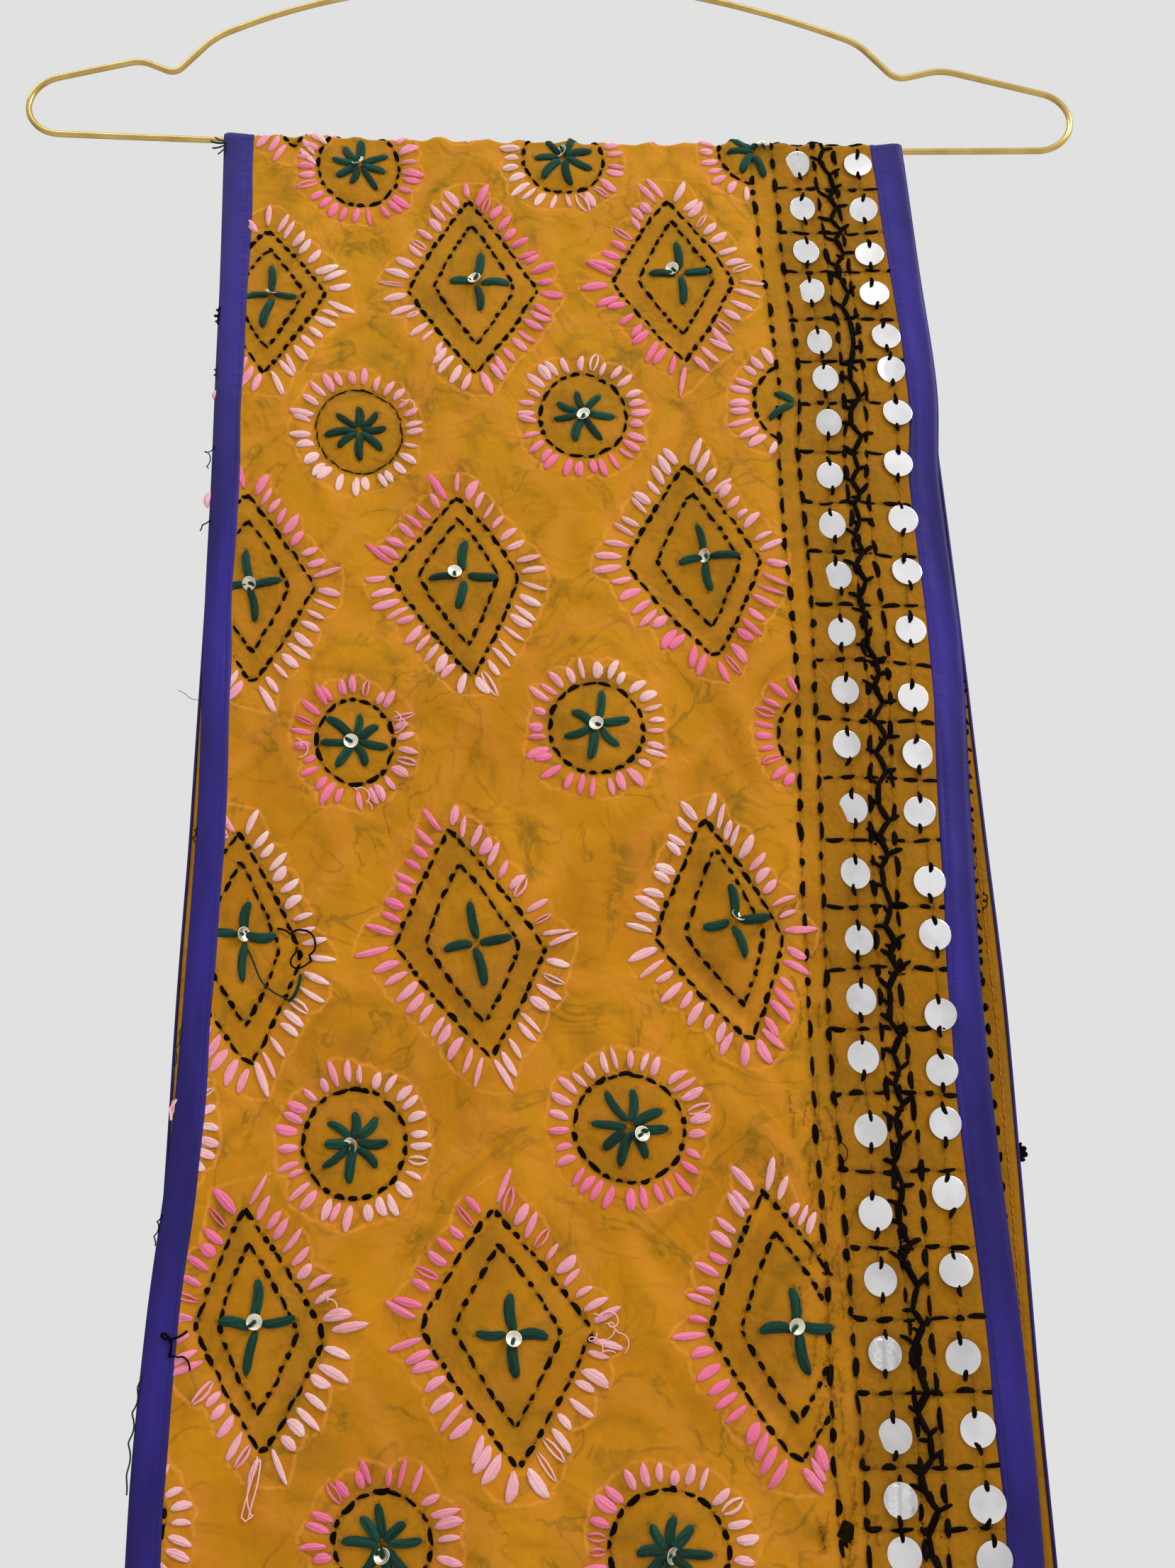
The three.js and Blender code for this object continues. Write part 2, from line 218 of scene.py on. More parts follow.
frontRounds = [
    (55.1, 12.8, 16.6, 19, 0.22, 90, 8, 30, 0, 1, 1), (140, 7, 16.7, 16.4, 0.75, 180, 7, 20, 0, 2.5, 1),
    (220, 1.8, 15, 16.4, 0.8, 0, 8, 12, 3, 2.5, 1),
    (55.3, 137.1, 16.7, 18, 0.8, 270, 8, 5, None, None, 0.3),
    (142.5, 128.8, 16.9, 18.4, 0.42, 90, 7, -3, 0.3, -1, 1),
    (226, 122, 17, 18, 0.8, 0, 6, 28, None, None, 1),
    (55.4, 265.4, 14.1, 16.4, 0.14, 0, 7, 35, -1.5, -0.5, 1),
    (144.4, 258.1, 17.2, 17.6, 0.42, 45, 6, -40, 0, 0.5, 1),
    (227.5, 260, 16.4, 17, 0.18, 0, 0, 0, None, None, 1),
    (61.1, 409.6, 17.5, 18.4, 0.6, 0, 8, 0, -1, -1, 1),
    (155.1, 401.8, 18.9, 18.1, 0.25, 90, 8, -10, 4, -2.5, 1),
    (-10, 407.1, 16.4, 16.3, 0.4, 0, 8, 0, None, None, 1),
    (77.5, 533, 15.2, 15.4, 0.3, 300, 8, 5, 0.3, -3.8, 1),
    (165.8, 533, 18.4, 18.2, 0.45, 0, 8, 0, 0.5, -1, 1),
    (-4.5, 529.8, 14.9, 14.5, 0.3, 0, 7, 10, None, None, 1),
]
border = {
    "start": 216.0,  # the field stops here
    "lines": [218.6, 226.2, 244.4, 252.6],
    "dashes": [(5.4, 4.0, 0.1), (5.6, 3.4, 0.35), (6.6, 3.4, 0.1), (6.2, 3.6, 0.1)],  # dash, gap, lift
    "columns": {"left": 237.3, "right": 263.0},
    "sway": {"left": 0.9, "right": 1.9},
    "chain": 248.0,
    "mirror": 11.7,
    "pitch": 21.8,
}
mirrorDrops = {
    "left": [9, 31, 52, 71, 95, 112, 132, 155, 176, 197, 220, 243, 264, 288, 312, 336, 357, 377, 402, 429,
             450, 473, 498, 517, 533],
    "right": [9, 31, 53, 72, 92, 107, 126, 148, 172, 194, 218, 245, 267, 289, 315, 334, 362, 381, 399, 422,
              447, 474, 496, 518, 534],
    "bent": [473, 517],  # these discs of the left column are curved
}
hidden = {
    "pitch": 66.5,
    "frontFirst": 600.0,  # first hidden row below the last that shows
    "backFirst": -50.0,
    "frontRows": 5,
    "backRows": 14,
    "diamondsAt": (21, 104, 187),
    "roundsAt": (60, 146, 219),
    "tipsOverBar": [(25, 15), (102, 2), (185, -1)],  # the first row behind: across, how far it comes forward
}


def clothAlong(drop):
    return scarf["fall"] - drop


def makeDiamond(row):
    spot = dict(zip(diamondColumns, row))
    corners = [
        (spot["leanUp"], spot["up"]),
        (spot["right"], -spot["sideDrop"]),
        (spot["leanDown"], -spot["down"]),
        (-spot["left"], -spot["sideDrop"]),
    ]
    centre = np.array([spot["across"], clothAlong(spot["drop"])])
    kind = {"kind": "diamond", "petals": 4, "ring": 1}
    return {**spot, **kind, "centre": centre, "corners": np.array(corners, float)}


def makeRound(row):
    spot = dict(zip(roundColumns, row))
    centre = np.array([spot["across"], clothAlong(spot["drop"])])
    return {**spot, "kind": "round", "centre": centre, "radii": (spot["radius"], spot["tall"])}


def hiddenMotifs():
    # the same rows go on down the front fall and all down the back, each motif a little off its place
    made = []
    rows = [(row, hidden["frontFirst"] + row * hidden["pitch"]) for row in range(hidden["frontRows"])]
    rows += [(row, hidden["backFirst"] - row * hidden["pitch"]) for row in range(hidden["backRows"])]
    for row, drop in rows:
        isDiamond = row % 2 == 0
        for column, across in enumerate(hidden["diamondsAt"] if isDiamond else hidden["roundsAt"]):
            spot = (across + dice.uniform(-5, 5), drop + dice.uniform(-4, 4))
            if drop == hidden["backFirst"]:
                tipAcross, tipForward = hidden["tipsOverBar"][column]
                spot = (tipAcross, drop + tipForward)
            pale = (dice.uniform(0.15, 0.8), dice.uniform(0, 360))
            sequin = (dice.uniform(-8, 8), dice.uniform(-1.5, 1.5), dice.uniform(-1.5, 1.5))
            if isDiamond:
                reach = [dice.uniform(36, 42) for _ in range(2)] + [dice.uniform(23, 27) for _ in range(2)]
                lean = [dice.uniform(-6, 6) for _ in range(3)]
                shape = (lean[0], reach[0], lean[1], reach[1], *reach[2:], lean[2] / 2)
                made.append(makeDiamond((*spot, *shape, *pale, *sequin)))
            else:
                radius = dice.uniform(15, 18.5)
                tall = radius + dice.uniform(-0.5, 1.5)
                made.append(makeRound((*spot, radius, tall, *pale, dice.choice([7, 8, 8]), *sequin, 1)))
    return made


motifs = [makeDiamond(row) for row in frontDiamonds]
motifs += [makeRound(row) for row in frontRounds]
motifs += hiddenMotifs()
print("motifs:", len(motifs))


def lengthsOf(points):
    # how far along a line each of its points lies
    return np.concatenate([[0], np.cumsum(np.linalg.norm(np.diff(points, axis=0), axis=1))])


def pointsAt(points, lengths, at):
    return np.stack([np.interp(at, lengths, points[:, axis]) for axis in range(2)], -1)


def outlineOf(motif, share=(1.0, 1.0), count=160):
    # evenly spaced points round a motif's dashed outline, from its top, with outward directions
    if motif["kind"] == "diamond":
        corners = motif["corners"] * np.array(share[::-1])
        loop = np.vstack([corners, corners[:1]])
        bulge = 0.02
        points = []
        for start, end in zip(loop[:-1], loop[1:]):
            t = np.linspace(0, 1, 60, endpoint=False)[:, None]
            side = np.array([end[1] - start[1], start[0] - end[0]])
            points.append(start + (end - start) * t - side * bulge * np.sin(math.pi * t))
        points = np.vstack([*points, corners[:1]])
    else:
        turn = np.linspace(0, 2 * math.pi, 240)
        points = np.stack([motif["radii"][0] * np.sin(turn), motif["radii"][1] * np.cos(turn)], -1)
    lengths = lengthsOf(points)
    even = pointsAt(points, lengths, np.linspace(0, lengths[-1], count, endpoint=False))
    ahead = np.roll(even, -1, axis=0) - np.roll(even, 1, axis=0)
    outward = np.stack([-ahead[:, 1], ahead[:, 0]], -1)
    outward /= np.linalg.norm(outward, axis=1)[:, None]
    return even, outward * np.sign(np.sum(outward * even, axis=1))[:, None], lengths[-1]


stitches = {"pink": [], "green": [], "black": [], "halo": []}
reverseThreads = []  # thread on the wrong side that shows through: start, end
sequinSpots = []


def addStitch(kind, middle, turn, length, width, height, shade=0.0, lift=0.0, aside=0.0):
    stitches[kind].append((middle[0], middle[1], turn, length, width, height, lift, shade, aside))


def inField(point, margin=0.0):
    return 5.0 < point[0] < border["start"] + 1.5 + margin


def runningStitch(points, dash, gap, width, limit=271.0, lift=0.0):
    # dashes along a line, with the thread showing through in between
    lengths = lengthsOf(points)
    at = dice.uniform(0, gap)
    while at < lengths[-1] - dash * 0.4:
        long = dash * dice.uniform(0.55, 1.38)
        space = gap * dice.uniform(0.6, 1.6)
        start, end, after = (pointsAt(points, lengths, at + way) for way in (0, long, long + space))
        middle = (start + end) / 2 + [dice.uniform(-0.35, 0.35), dice.uniform(-0.35, 0.35)]
        if 6.0 < middle[0] < limit and 4 < middle[1] < scarfLength - 4:
            way = end - start
            turn = turnOf(way) + dice.gauss(0, 0.07)
            addStitch("black", middle, turn, long, width * dice.uniform(0.7, 1.25), 1.0, dice.random(), lift)
            link = after - start
            addStitch("halo", (after + start) / 2, turnOf(link),
                      np.linalg.norm(link) + 1.0, 4.6, 0.0, dice.random())
        at += long + space


pinkSettings = {
    "spacing": {"diamond": 5.2, "round": 5.4},
    "outset": {"diamond": 2.5, "round": 7},
    "length": {"diamond": 8.0, "round": 7.5},
    "cornerExtra": 2.6,
    "width": 2.8,
    "height": 1.7,
    "clear": 1.5,
    "openShare": 0.06,  # bundles that open into a loop of two strands
    "openApart": 0.4,
    "apart": 0.26,
}


def addPetal(middle, turn, length, width, shade):
    # strands side by side, which here and there open into a loop; a single body on the back fall
    height = pinkSettings["height"] * dice.uniform(0.8, 1.15)
    if middle[1] > barAlong:
        addStitch("pink", middle, turn, length, width, height, shade)
        return
    opened = dice.random() < pinkSettings["openShare"]
    apart = width * pinkSettings["openApart" if opened else "apart"]
    for strand in (-1, 1) if opened else (-1, 0, 1):
        aside = strand * apart * dice.uniform(0.75, 1.2)
        addStitch("pink", middle, turn + dice.gauss(0, 0.025), length * dice.uniform(0.94, 1.04),
                  width * (0.36 if opened else dice.uniform(0.48, 0.6)),
                  height * (0.95 if strand else 1.1), shade, 0.0 if strand else 0.1, aside)


def pinkRing(motif):
    even, outward, around = outlineOf(motif, count=480)
    kind = motif["kind"]
    wider = 2 * math.pi * pinkSettings["outset"][kind]
    count = int(round((around + wider) / pinkSettings["spacing"][kind]))
    tips = []
    slip = dice.random()
    for index in range(count):
        at = int((index + slip + dice.uniform(-0.14, 0.14)) / count * len(even)) % len(even)
        radial = even[at] / np.linalg.norm(even[at])
        way = 0.5 * outward[at] + 0.5 * radial
        corner = 0.0
        if kind == "diamond":
            corner = max(bell(np.linalg.norm(motif["corners"] - even[at], axis=1), 9.0))
        turn = turnOf(way) + dice.gauss(0, 0.12)
        way = wayOf(turn)
        length = pinkSettings["length"][kind] + pinkSettings["cornerExtra"] * corner + 0.8 * (way[1] < -0.3)
        length *= min(max(dice.gauss(1, 0.14), 0.66), 1.32)
        start = motif["centre"] + even[at] + way * (pinkSettings["clear"] + dice.uniform(-0.5, 0.8))
        tip = start + way * length
        paler = 0.42 * math.cos(turn - math.radians(motif["paleWay"]))
        shade = min(max(motif["pale"] + paler + dice.uniform(-0.13, 0.13), 0), 1)
        width = pinkSettings["width"] * min(max(dice.gauss(1, 0.19), 0.62), 1.5)
        middle = (start + tip) / 2
        shows = inField(middle) and 3 < middle[1] < scarfLength - 3
        tips.append(tip if shows else None)
        if shows:
            addPetal(middle, turn, length, width, shade)
    for here, after in zip(tips, tips[1:] + tips[:1]):
        if here is not None and after is not None and dice.random() > 0.2:
            middle = (here + after) / 2
            away = middle - motif["centre"]
            middle = middle + away / np.linalg.norm(away) * dice.uniform(0.4, 1.4)
            reverseThreads.append((here, middle))
            reverseThreads.append((middle, after))


petalSettings = {
    "width": 3.35,
    "height": 2.0,
    "start": 1.0,
    "taller": 1.22,  # the upright petals of a diamond
    "diamond": (9.6, 12.0),
    "round": (8.6, 12.6),
}


def petals(motif):
    centre = motif["centre"]
    kind = motif["kind"]
    for spoke in range(motif["petals"]):
        turn = math.radians(motif["skew"]) + 2 * math.pi * spoke / motif["petals"]
        turn += dice.uniform(-0.14, 0.14)
        length = dice.uniform(*petalSettings[kind])
        way = wayOf(turn)
        length *= petalSettings["taller"] if kind == "diamond" and abs(way[1]) > 0.8 else 1
        middle = centre + way * (petalSettings["start"] + length / 2 + dice.uniform(-0.3, 1.0))
        if inField(middle, 4):
            # a dark halo under and round the green petal: painted shade
            addStitch("halo", middle, turn, length + 2, 6.6, 0.0, dice.random())
            addStitch("green", middle, turn + dice.gauss(0, 0.07), length,
                      petalSettings["width"] * dice.uniform(0.85, 1.15), petalSettings["height"],
                      dice.random())
    if motif["sequinX"] is not None and inField(centre, 4) and 4 < centre[1] < scarfLength - 4:
        spot = centre + [motif["sequinX"], motif["sequinY"]]
        sequinSpots.append(spot)
        turn = dice.uniform(0, 2 * math.pi)
        over = spot + wayOf(turn) * 1.3
        addStitch("green", over, turn, 3.6, 1.3, 1.0, dice.random(), 1.25)  # its tie


dashSettings = {
    "diamond": 4.0,
    "round": 4.3,
    "gap": 1.3,
    "width": 1.68,
    "innerShare": (0.7, 0.62),  # a diamond's inner outline, as a share of its height and width
    "inner": (3.6, 1.4, 1.5),  # dash, gap and width there
}


def dashOutline(motif, share, *dashes):
    outline, _, _ = outlineOf(motif, share)
    runningStitch(motif["centre"] + np.vstack([outline, outline[:3]]), *dashes, border["start"] + 2)


def stitchMotif(motif):
    pinkRing(motif)
    ring = motif["ring"]
    gap, width = dashSettings["gap"] * ring, dashSettings["width"] * ring
    dashOutline(motif, (1.0, 1.0), dashSettings[motif["kind"]], gap, width)
    if motif["kind"] == "diamond":
        dashOutline(motif, dashSettings["innerShare"], *dashSettings["inner"])
    petals(motif)


for motif in motifs:
    stitchMotif(motif)
# pink petals and dark thread of the back fall, which peep past the front fall's edges
edgeTufts = [(-1.9, 171, 80, 7.5, 2.8, 0.75), (-1.2, 124, 70, 5.0, 2.0, 0.6), (-1.4, 401, 85, 6.0, 2.2, 0.5)]
edgeBits = {"across": 281.5, "drops": (236.0, 352.0, 5.5), "lift": -0.7}
for across, drop, turn, length, width, shade in edgeTufts:
    addStitch("pink", (across, clothAlong(drop)), math.radians(turn), length, width, 1.2, shade, -0.6)
for drop in np.arange(*edgeBits["drops"]):
    bit = (edgeBits["across"] + dice.uniform(-0.4, 0.5), clothAlong(drop + dice.uniform(-1.5, 1.5)))
    turn = upright + dice.gauss(0, 0.5)
    addStitch("black", bit, turn, dice.uniform(1.6, 3.4), 1.1, 0.9, dice.random(), edgeBits["lift"])


def mirrorRows(column):
    # along the cloth, from the front hem to the back hem
    rows = sorted(clothAlong(drop) for drop in mirrorDrops[column])
    while rows[0] > 22:
        rows.insert(0, rows[0] - border["pitch"] * dice.uniform(0.9, 1.1))
    while rows[-1] < scarfLength - 34:
        rows.append(rows[-1] + border["pitch"] * dice.uniform(0.9, 1.1))
    return rows


mirrorSpots = []
mirrorTable = {column: mirrorRows(column) for column in ("left", "right")}
for column, across in border["columns"].items():
    for along in mirrorTable[column]:
        wave = border["sway"][column] * math.sin(2 * math.pi * (clothAlong(along) - 300) / 200)
        mirrorSpots.append((across + wave + dice.uniform(-0.7, 0.7), along))


def borderLines():
    v = np.arange(2.0, scarfLength - 2, 4.0)
    for line, (across, (dash, gap, lift)) in enumerate(zip(border["lines"], border["dashes"])):
        a = across + 0.7 * softNoise(across, v, 60, 30 + line)
        runningStitch(np.stack([a, v], -1), dash, gap, 1.95, lift=lift)


def borderRungs():
    # a dashed row crosses the border between each two mirrors
    pairs = [zip(rows, rows[1:]) for rows in mirrorTable.values()]
    for (left, nextLeft), (right, nextRight) in zip(*pairs):
        v0 = (left + nextLeft) / 2 + dice.uniform(-0.8, 0.8)
        v1 = (right + nextRight) / 2 + dice.uniform(-0.8, 0.8)
        if abs(v0 - v1) > 8:
            v1 = v0
        a = np.linspace(border["lines"][1] - 1, 270.5, 24)
        v = v0 + (v1 - v0) * (a - a[0]) / (a[-1] - a[0]) + 0.7 * softNoise(a, v0, 14, 77)
        runningStitch(np.stack([a, v], -1), 5.4, 2.5, 1.75)


chainSettings = {
    "step": 6.2,
    "sway": 1.8,
    "width": 2.1,
    "barb": 5.2,
    "barbWidth": 1.7,
    "spurShare": 0.5,  # bends with a second barb
    "swapShare": 0.8,  # bends after which the line goes to the other side
}


def featherChain():
    # a thick feathered line between the two mirror columns: sways, with a barb at each bend
    v = 3.0
    side = 1
    last = np.array([border["chain"], v])
    while v < scarfLength - 5:
        v += chainSettings["step"] * dice.uniform(0.75, 1.25)
        drift = 1.3 * math.sin(v / 41.0) + 0.8 * math.sin(v / 17.0 + 1)
        here = np.array([border["chain"] + drift + side * chainSettings["sway"] * dice.uniform(0.3, 1.2), v])
        way = here - last
        addStitch("black", (here + last) / 2, turnOf(way), np.linalg.norm(way) + 2.2,
                  chainSettings["width"] * dice.uniform(0.8, 1.15), 1.5, dice.random(), 0.15)
        barb = math.atan2(dice.uniform(0.1, 0.9), side) + dice.uniform(-0.2, 0.2)
        long = chainSettings["barb"] * dice.uniform(0.7, 1.25)
        middle = here + wayOf(barb) * long * 0.42
        # a dark haze along the chain: loose fibres, and partly painted shade beside the raised thread
        addStitch("halo", (here + last) / 2, turnOf(way), 11, 8.0, 0.0, dice.random())
        width = chainSettings["barbWidth"] * dice.uniform(0.8, 1.2)
        addStitch("black", middle, barb, long, width, 1.3, dice.random(), 0.2)
        if dice.random() < chainSettings["spurShare"]:
            addStitch("black", here + [-side * 1.6, -1.5], barb + 2.2, 4.2, 1.5, 1.1, dice.random())
        side = -side if dice.random() < chainSettings["swapShare"] else side
        last = here


tieSettings = {
    "width": 1.6,
    "height": 1.4,
    "lift": 0.9,
    "inward": 0.7,  # over the raised rim of a hanging disc
    "overRim": (1.0, 0.5),  # left column, right column
}


def mirrorTies():
    for across, along in mirrorSpots:
        for end in (-1, 1):
            lean = dice.gauss(0, 0.22)
            upper = end > 0 and along < barAlong
            edge = border["mirror"] / 2 + dice.uniform(-0.3, 0.7) - tieSettings["inward"] * upper
            middle = (across + dice.uniform(-0.7, 0.7), along + end * edge)
            lift = tieSettings["lift"] + upper * tieSettings["overRim"][across >= border["chain"]]
            addStitch("black", middle, upright + lean, dice.uniform(3.6, 4.8), tieSettings["width"],
                      tieSettings["height"], dice.random(), lift)
        addStitch("halo", (across, along + 11), upright, 12, 4.0, 0.0, dice.random())


hairSettings = {
    "count": 64,
    "across": (220, 6),  # middle and spread
    "drop": (322, 545),
    "turn": (55, 110),
    "length": (7, 12),
    "width": (4, 7),
}


def looseHairs():
    # short loose ends of dark thread beside the border's first lines
    hairs = random.Random(47)
    for _ in range(hairSettings["count"]):
        spot = (hairs.gauss(*hairSettings["across"]), clothAlong(hairs.uniform(*hairSettings["drop"])))
        turn = math.radians(hairs.uniform(*hairSettings["turn"]))
        length = hairs.uniform(*hairSettings["length"])
        addStitch("halo", spot, turn, length, hairs.uniform(*hairSettings["width"]), 0.0, hairs.random())


borderLines()
borderRungs()
featherChain()
mirrorTies()
looseHairs()
print("stitches:", {kind: len(rows) for kind, rows in stitches.items()}, "mirrors:", len(mirrorSpots))

frontCreases = [  # from, to, as across and drop, then width and height
    (150, 437, 190, 502, 5.5, 1.2), (93, 403, 122, 399, 4, 0.8), (124, 197, 152, 204, 4, 0.9),
    (190, 236, 210, 278, 5, 0.9), (140, 300, 149, 358, 6, 0.9), (54, 180, 58, 206, 6, 0.7),
    (52, 290, 57, 332, 6.5, 0.8), (60, 442, 74, 478, 5.5, 0.9), (219, 352, 230, 392, 5, -0.9),
    (120, 70, 150, 104, 5, 0.6), (28, 130, 60, 112, 5, 0.6), (70, 236, 108, 262, 5, 0.7),
    (120, 300, 92, 268, 4, -0.6), (160, 150, 178, 128, 5, 0.6), (40, 262, 22, 300, 5, 0.6),
    (176, 372, 210, 412, 5, 0.7), (78, 500, 52, 540, 6, 0.8), (190, 500, 214, 548, 5, -0.8),
    (132, 28, 136, 60, 5, 0.5), (30, 20, 36, 58, 6, 0.5), (172, 18, 176, 40, 5, 0.5),
    (181, 296, 197, 321, 3.2, 0.9), (172, 325, 180, 301, 3.2, -0.6), (187, 349, 196, 370, 3.2, 0.7),
    (198, 308, 204, 340, 3.2, -0.6), (206, 24, 196, 66, 4, 0.8),
]


def hiddenCreases():
    made = []
    for count, nearest, farthest in ((16, 560, 890), (42, -25, -890)):
        for _ in range(count):
            spot = (dice.uniform(20, 250), clothAlong(dice.uniform(nearest, farthest)))
            made.append((spot, dice.uniform(20, 60)))
    rows = []
    for (a, v), long in made:
        turn = dice.gauss(upright, 0.5)
        reach = wayOf(turn) * long / 2
        rows.append((np.array([a, v]) - reach, np.array([a, v]) + reach, dice.uniform(4, 7),
                     dice.choice([-1, 1, 1]) * dice.uniform(0.5, 1.1)))
    return rows


def creaseField(a, v):
    total = np.zeros(np.broadcast(a, v).shape)
    rows = []
    for a0, drop0, a1, drop1, width, height in frontCreases:
        ends = np.array([[a0, clothAlong(drop0)], [a1, clothAlong(drop1)]])
        rows.append((*ends, width, height))
    for start, end, width, height in rows + hiddenCreases():
        way = end - start
        long = np.linalg.norm(way)
        way = way / long
        along = ((a - start[0]) * way[0] + (v - start[1]) * way[1]) / long
        off = (a - start[0]) * way[1] - (v - start[1]) * way[0]
        bend = 2.5 * np.sin(along * 3.1)
        fade = ramp(along, -0.15, 0.3) * (1 - ramp(along, 0.7, 1.15))
        total += height * bell(off - bend, width) * fade
    return total


def motifReach(motif, x, y):
    # how far out a point is, as a share of the way to the dashed outline, and that way's length
    if motif["kind"] == "diamond":
        top, right, bottom, left = motif["corners"]
        wide = np.where(x > 0, right[0], -left[0])
        tall = np.where(y > 0, top[1], -bottom[1])
        lean = y * (top[0] - bottom[0]) / (top[1] - bottom[1])
        return np.abs(x - lean) / wide + np.abs(y) / tall, 22.0, np.arctan2(y, x)
    return np.hypot(x / motif["radii"][0], y / motif["radii"][1]), motif["radii"][0], np.arctan2(y, x)


puckerSettings = {
    "sink": 0.55,  # along the dashed outline, which also lets the middle stand up
    "ripple": 0.28,  # between the petals
    "ripples": {"diamond": 17, "round": 12},
    "rim": 0.3,  # outside the petals
}


def closeTo(da, dv):
    # within a motif's pull on the cloth
    return (np.abs(da) < 48) & (np.abs(dv) < 62)


def motifField(a, v):
    # the stitching draws each motif's edge in, lifts its middle and puckers the ring outside
    total = np.zeros(np.broadcast(a, v).shape)
    inside = np.zeros(total.shape)
    ring = np.zeros(total.shape)
    for motif in motifs:
        da = a - motif["centre"][0]
        dv = v - motif["centre"][1]
        near = closeTo(da, dv)
        if not near.any():
            continue
        reach, size, turn = motifReach(motif, da[near], dv[near])
        edge = (reach - 1) * size
        clear = 1 - ramp(a[near], border["start"] - 4, border["start"] + 6)
        sink = puckerSettings["sink"]
        lift = sink * (1 - np.clip(reach, 0, 1) ** 2) - sink * bell(edge, 2.6)
        ripples = np.sin(turn * puckerSettings["ripples"][motif["kind"]] + 1.3)
        lift += puckerSettings["ripple"] * bell(edge - 7, 5.0) * ripples
        lift += puckerSettings["rim"] * bell(edge - 13.5, 3.5)
        total[near] += lift * clear
        inside[near] = np.maximum(inside[near], 1 - ramp(edge, -1.0, 1.6))
        ring[near] = np.maximum(ring[near], bell(edge - 6.5, 6.0))
    return total, inside, ring


gatherSettings = {
    "waves": ((17.3, 0.55, 0.4), (11.1, 0.45, 1.9)),  # length, height, phase
    "uneven": 0.45,
    "near": (0.8, 16),  # share, and the drop over which it fades
    "far": (0.22, 70),
    "dip": (0.1, 12),
}


def topGathers(a, v):
    # small gathers where the weight pulls over the bar
    away = np.minimum(np.abs(v - scarf["fall"]), np.abs(v - scarf["fall"] - wrapLength))
    away = np.where((v > scarf["fall"]) & (v < scarf["fall"] + wrapLength), 0, away)
    waves = 0.0
    for long, height, phase in gatherSettings["waves"]:
        waves = waves + height * np.sin(a * 2 * math.pi / long + phase)
    waves += gatherSettings["uneven"] * softNoise(a, 0 * v, 14, 5)
    fades = [gatherSettings[name] for name in ("near", "far", "dip")]
    near, far, dip = (share * np.exp(-away / reach) for share, reach in fades)
    return waves * (near + far) - dip


def borderField(a, v):
    # ridges beside the feathered chain, a trough at each line of stitches and rung
    total = -0.35 * bell(a - border["chain"], 1.8)
    total += 0.6 * bell(a - border["chain"] + 3.6, 2.2) + 0.5 * bell(a - border["chain"] - 3.4, 2.2)
    total *= 0.7 + 0.5 * softNoise(a, v, 22, 41)
    inside = ramp(a, border["lines"][1] - 2, border["lines"][1] + 2)
    for left, nextLeft in zip(mirrorTable["left"], mirrorTable["left"][1:]):
        total -= 0.4 * inside * bell(v - (left + nextLeft) / 2, 2.4)
    return total


grid = {"columns": 101, "frontStep": 2.6, "hiddenStep": 5.6, "wrapRows": 12, "shown": 565.0}
hemLow, hemHigh = scarf["hem"][0] - 0.9, scarf["hem"][0] + 0.4
hemRows = np.array([0, 0.8, hemLow, hemHigh])
hiddenRows = np.concatenate([hemRows, np.arange(11.0, clothAlong(grid["shown"]), grid["hiddenStep"])])
shownRows = np.arange(clothAlong(grid["shown"]), scarf["fall"] - 0.5, grid["frontStep"])
wrapRows = scarf["fall"] + np.linspace(0, wrapLength, grid["wrapRows"] + 1)
backRows = np.arange(scarf["fall"] + wrapLength + 2, scarfLength - 10, grid["hiddenStep"])
alongRows = np.concatenate([hiddenRows, shownRows, wrapRows, backRows, scarfLength - hemRows[::-1]])
acrossColumns = np.linspace(0, scarf["width"], grid["columns"])
gridA, gridV = np.meshgrid(acrossColumns, alongRows)


def normalsOf(points):
    # the face looks out of the fold, so across cross along
    acrossWay = np.gradient(points, acrossColumns, axis=1)
    alongWay = np.gradient(points, alongRows, axis=0)
    out = np.cross(acrossWay, alongWay)
    return out / np.linalg.norm(out, axis=-1)[..., None]


reliefSettings = {  # heights of what shapes the cloth
    "puckers": 1.5,
    "creases": 1.6,
    "waves": 0.7,
    "crinkles": 0.26,
    "onBar": 0.25,  # share left where the cloth lies on the bar
    "edgeGathers": 0.25,  # share of the gathers that reaches the ribbons
    "lowestOnBar": -0.62,
}


def nearBar(margin):
    return (gridV > scarf["fall"] - margin) & (gridV < scarf["fall"] + wrapLength + margin)


flatPoints = clothMiddle(gridA, gridV)
flatNormals = normalsOf(flatPoints)
puckers, insideMotif, ringMotif = motifField(gridA, gridV)
inward = ramp(gridA, 6, 16) * (1 - ramp(gridA, 262, 272))  # the ribbons hold the long edges flat
onBar = np.where(nearBar(6), reliefSettings["onBar"], 1.0)
stitched = reliefSettings["puckers"] * puckers + reliefSettings["creases"] * creaseField(gridA, gridV)
relief = (stitched + borderField(gridA, gridV)) * inward * onBar
relief += reliefSettings["waves"] * softNoise(gridA, gridV, 34, 3, 1.6) * onBar
relief += reliefSettings["crinkles"] * softNoise(gridA, gridV, 11, 4, 1.4) * inward * onBar
atEdges = reliefSettings["edgeGathers"]
relief += topGathers(gridA, gridV) * (atEdges + (1 - atEdges) * inward)
relief += scarf["hem"][1] * (1 - ramp(np.minimum(gridV, scarfLength - gridV), hemLow, hemHigh)) * inward
relief = np.where(nearBar(3), np.maximum(relief, reliefSettings["lowestOnBar"]), relief)
clothPoints = flatPoints + flatNormals * relief[..., None]
clothNormals = normalsOf(clothPoints)
print("cloth grid:", clothPoints.shape)


